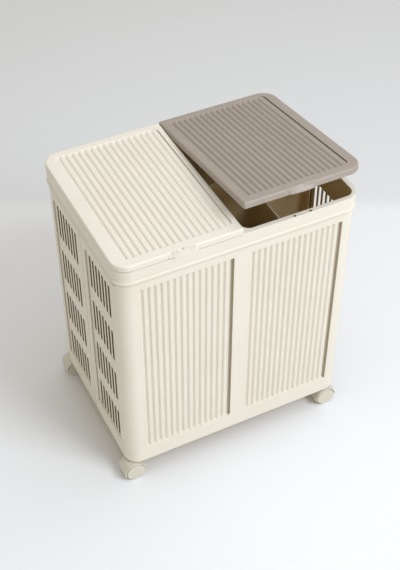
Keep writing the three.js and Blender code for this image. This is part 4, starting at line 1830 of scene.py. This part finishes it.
@dataclass
class Studio:
    """The pale floor, the soft lights and the camera, in metres and degrees."""

    azimuth: float = -26.642
    elevation: float = 43.756
    roll: float = 0.053
    camera_at: Spot = (-0.764319, -1.52777, 1.950567)
    focal_pixels: float = 1101.211
    frame_height: float = 570.0
    sensor: float = 36.0
    floor_half: float = 9.0
    floor_below: float = 0.0004
    change_at: float = 0.655
    change_half: float = 0.03
    floor_near: Spot = (0.85, 0.86, 0.89)
    floor_far: Spot = (0.765, 0.775, 0.805)
    boxes: tuple[Softbox, ...] = (
        Softbox("key softbox", (1.45, -2.62, 3.32), (0.0, 0.0, 0.35), 1.6, 90.0, (0.86, 0.925, 1.0)),
        Softbox("overhead", (0.3, -0.2, 3.3), (0.1, 0.0, 0.3), 2.2, 30.0, (0.77, 0.79, 1.0)),
        Softbox("front fill", (0.9, -3.0, 0.8), (0.0, 0.0, 0.25), 1.6, 10.0, (0.95, 0.95, 1.0)),
    )
    world: Spot = (1.0, 0.96, 0.80)
    world_strength: float = 0.55

    def _paint(self) -> bpy.types.Material:
        """Makes the floor's paint, a little darker behind the hamper.

        Returns:
            The material.
        """
        paint = bpy.data.materials.new("studio floor")
        paint.use_nodes = True
        graph = Graph(paint.node_tree)
        coords = graph.node("ShaderNodeTexCoord").outputs["Object"]
        turn = graph.node("ShaderNodeMapping", Vector=coords, Rotation=(0, 0, -math.radians(self.azimuth)))
        along = graph.node("ShaderNodeSeparateXYZ", Vector=turn.outputs["Vector"]).outputs["Y"]
        fade = graph.ranged(along, (self.change_at - self.change_half, self.change_at + self.change_half))
        colour = graph.mixed(fade, (*self.floor_near, 1), (*self.floor_far, 1))
        shader = paint.node_tree.nodes["Principled BSDF"]
        graph.wire(shader, Base_Color=colour, Roughness=0.85, Specular_IOR_Level=0.1)
        return paint

    def floor(self) -> None:
        """Makes the floor."""
        mesh = bpy.data.meshes.new("floor")
        corners = [(a * self.floor_half, b * self.floor_half) for a, b in ((-1, -1), (1, -1), (1, 1), (-1, 1))]
        mesh.from_pydata(at_height(corners, -self.floor_below), [], [(0, 1, 2, 3)])
        mesh.materials.append(self._paint())
        linked("floor", mesh)

    def lights(self) -> None:
        """Hangs the softboxes and sets the fill."""
        for box in self.boxes:
            box.hang()
        world = bpy.data.worlds.new("studio fill")
        bpy.context.scene.world = world
        world.use_nodes = True
        graph = Graph(world.node_tree)
        graph.wire(world.node_tree.nodes["Background"], Color=(*self.world, 1), Strength=self.world_strength)

    def camera(self) -> None:
        """Places the camera."""
        a, e, r = (math.radians(v) for v in (self.azimuth, self.elevation, self.roll))
        back = Vector((math.sin(a) * math.cos(e), -math.cos(a) * math.cos(e), math.sin(e)))
        across = (-back).cross(Vector((0, 0, 1))).normalized()
        up = across.cross(-back)
        right = math.cos(r) * across + math.sin(r) * up
        top = -math.sin(r) * across + math.cos(r) * up
        data = bpy.data.cameras.new("camera")
        data.sensor_fit = "AUTO"
        data.sensor_width = self.sensor
        data.lens = self.sensor * self.focal_pixels / self.frame_height
        data.clip_end = 60.0
        made = linked("camera", data)
        made.matrix_world = Matrix.Translation(self.camera_at) @ Matrix((right, top, back)).transposed().to_4x4()
        bpy.context.scene.camera = made

    def build(self) -> None:
        """Sets up the whole studio."""
        self.floor()
        self.lights()
        self.camera()
        bpy.context.scene.view_settings.view_transform = "Standard"


@dataclass
class Hamper:
    """The whole hamper: its finishes, its trees and where every piece rides."""

    envelope: Envelope = field(default_factory=Envelope)
    open_angle: float = 8.4
    caster_place: Flat = (237.5, 168.0)
    cream_finish: MouldedPlastic = MouldedPlastic(
        "cream plastic", (0.80, 0.755, 0.665), (0.765, 0.71, 0.61), 0.5, 0.36, 0.5,
    )
    taupe_finish: MouldedPlastic = MouldedPlastic(
        "taupe plastic", (0.37, 0.32, 0.278), (0.335, 0.285, 0.24), 0.5, 0.38, 0.52,
    )
    ivory_finish: MouldedPlastic = MouldedPlastic(
        "caster plastic", (0.67, 0.63, 0.54), (0.63, 0.585, 0.495), 0.5, 0.3, 0.42, dust=0.16,
    )
    pale_finish: MouldedPlastic = MouldedPlastic(
        "catch plastic", (0.86, 0.84, 0.79), (0.82, 0.80, 0.74), 0.4, 0.28, 0.38,
    )
    steel_finish: DrawnSteel = DrawnSteel(
        "drawn steel", (0.56, 0.56, 0.55), (0.42, 0.41, 0.39), 0.5, 0.25, 0.42, 0.4, 0.1,
        stretch=(1.0, 1.0, 0.08), bump=(0.3, 0.0001),
    )

    def __post_init__(self) -> None:
        """Makes the finishes and the trees."""
        finishes = self.cream_finish, self.taupe_finish, self.ivory_finish, self.pale_finish, self.steel_finish
        effects = SharedEffects()
        self.cream, self.taupe, self.ivory, self.pale, self.steel = (each.material(effects) for each in finishes)
        self.ribs, self.slots = GroovedPanel(), SlotBank()

    @staticmethod
    def _seat(piece: bpy.types.Object, body: str, slot: str, *nodes: str) -> None:
        """Says what a piece rides on and what it stands for.

        Args:
            piece: the piece.
            body: the body it moves with.
            slot: not used.
            nodes: the nodes it stands for.
        """
        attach(piece, body)
        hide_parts(*nodes)
        LOG.info("%s rides on %s with %d faces", piece.name, body, len(piece.data.polygons))

    def body(self) -> None:
        """Builds the shells, the collar, the tray, the inner walls, the catches and the hinge pins."""
        shells, walls = BodyShells(self.envelope), InnerWalls()
        for end in End:
            pieces = [shells.shell(end, self.slots, self.cream), *shells.flutes(end, self.ribs, self.cream)]
            for piece in pieces:
                self._seat(piece, "hamper_body", "cream_plastic", f"shell_{end.label}")
        for piece, node in (
            (Collar(self.envelope).build(self.cream), "collar"), (BaseTray().build(self.cream), "base_tray"),
            (walls.partition(self.cream), "centre_partition"), (walls.divider(self.cream), "right_bin_divider"),
        ):
            self._seat(piece, "hamper_body", "cream_plastic", node)
        for side in Side:
            strip = RimCatch(side).build(self.pale)
            self._seat(strip, "hamper_body", "catch_plastic", f"rim_catch_{side.label}")
            for index, x in enumerate(self.envelope.hinge_places(side.value), 1):
                pin = HingePin(self.envelope.hinge).build(f"pin_{side.label}_{index}", x, self.steel)
                self._seat(pin, "hamper_body", "steel", f"hinge_pin_{side.label}_{index}")

    def lids(self) -> None:
        """Builds the two lids, the right one ajar."""
        for side, angle, finish, slot in (
            (Side.LEFT, 0.0, self.cream, "cream_plastic"), (Side.RIGHT, self.open_angle, self.taupe, "taupe_plastic"),
        ):
            for piece in Lid(self.envelope, side, angle).build(self.ribs, finish):
                self._seat(piece, f"{side.label}_lid", slot, f"lid_{side.label}")

    def rolling_gear(self) -> None:
        """Builds the casters and dresses their steel."""
        x, y = self.caster_place
        for label, place in (
            ("front_left", (-x, -y)), ("front_right", (x, -y)), ("back_left", (-x, y)), ("back_right", (x, y)),
        ):
            caster = Caster(place)
            housing = caster.housing(f"caster_hood_{label}", self.ivory)
            self._seat(housing, f"caster_{label}", "caster_plastic", f"caster_housing_{label}")
            for index, way in ((1, -1), (2, 1)):
                wheel = caster.wheel(f"wheel_disc_{label}_{index}", way, self.ivory)
                self._seat(wheel, f"wheel_{label}_{index}", "caster_plastic", f"caster_wheel_{label}_{index}")
            for part in ("stem", "axle"):
                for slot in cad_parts[f"caster_{part}_{label}"].material_slots:
                    slot.material = self.steel


def main() -> None:
    """Builds the hamper's looks piece by piece."""
    logging.basicConfig(level=logging.INFO, format="%(message)s")
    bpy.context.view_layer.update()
    Studio().build()
    hamper = Hamper()
    hamper.body()
    hamper.lids()
    hamper.rolling_gear()


if __name__ == "__main__":
    main()
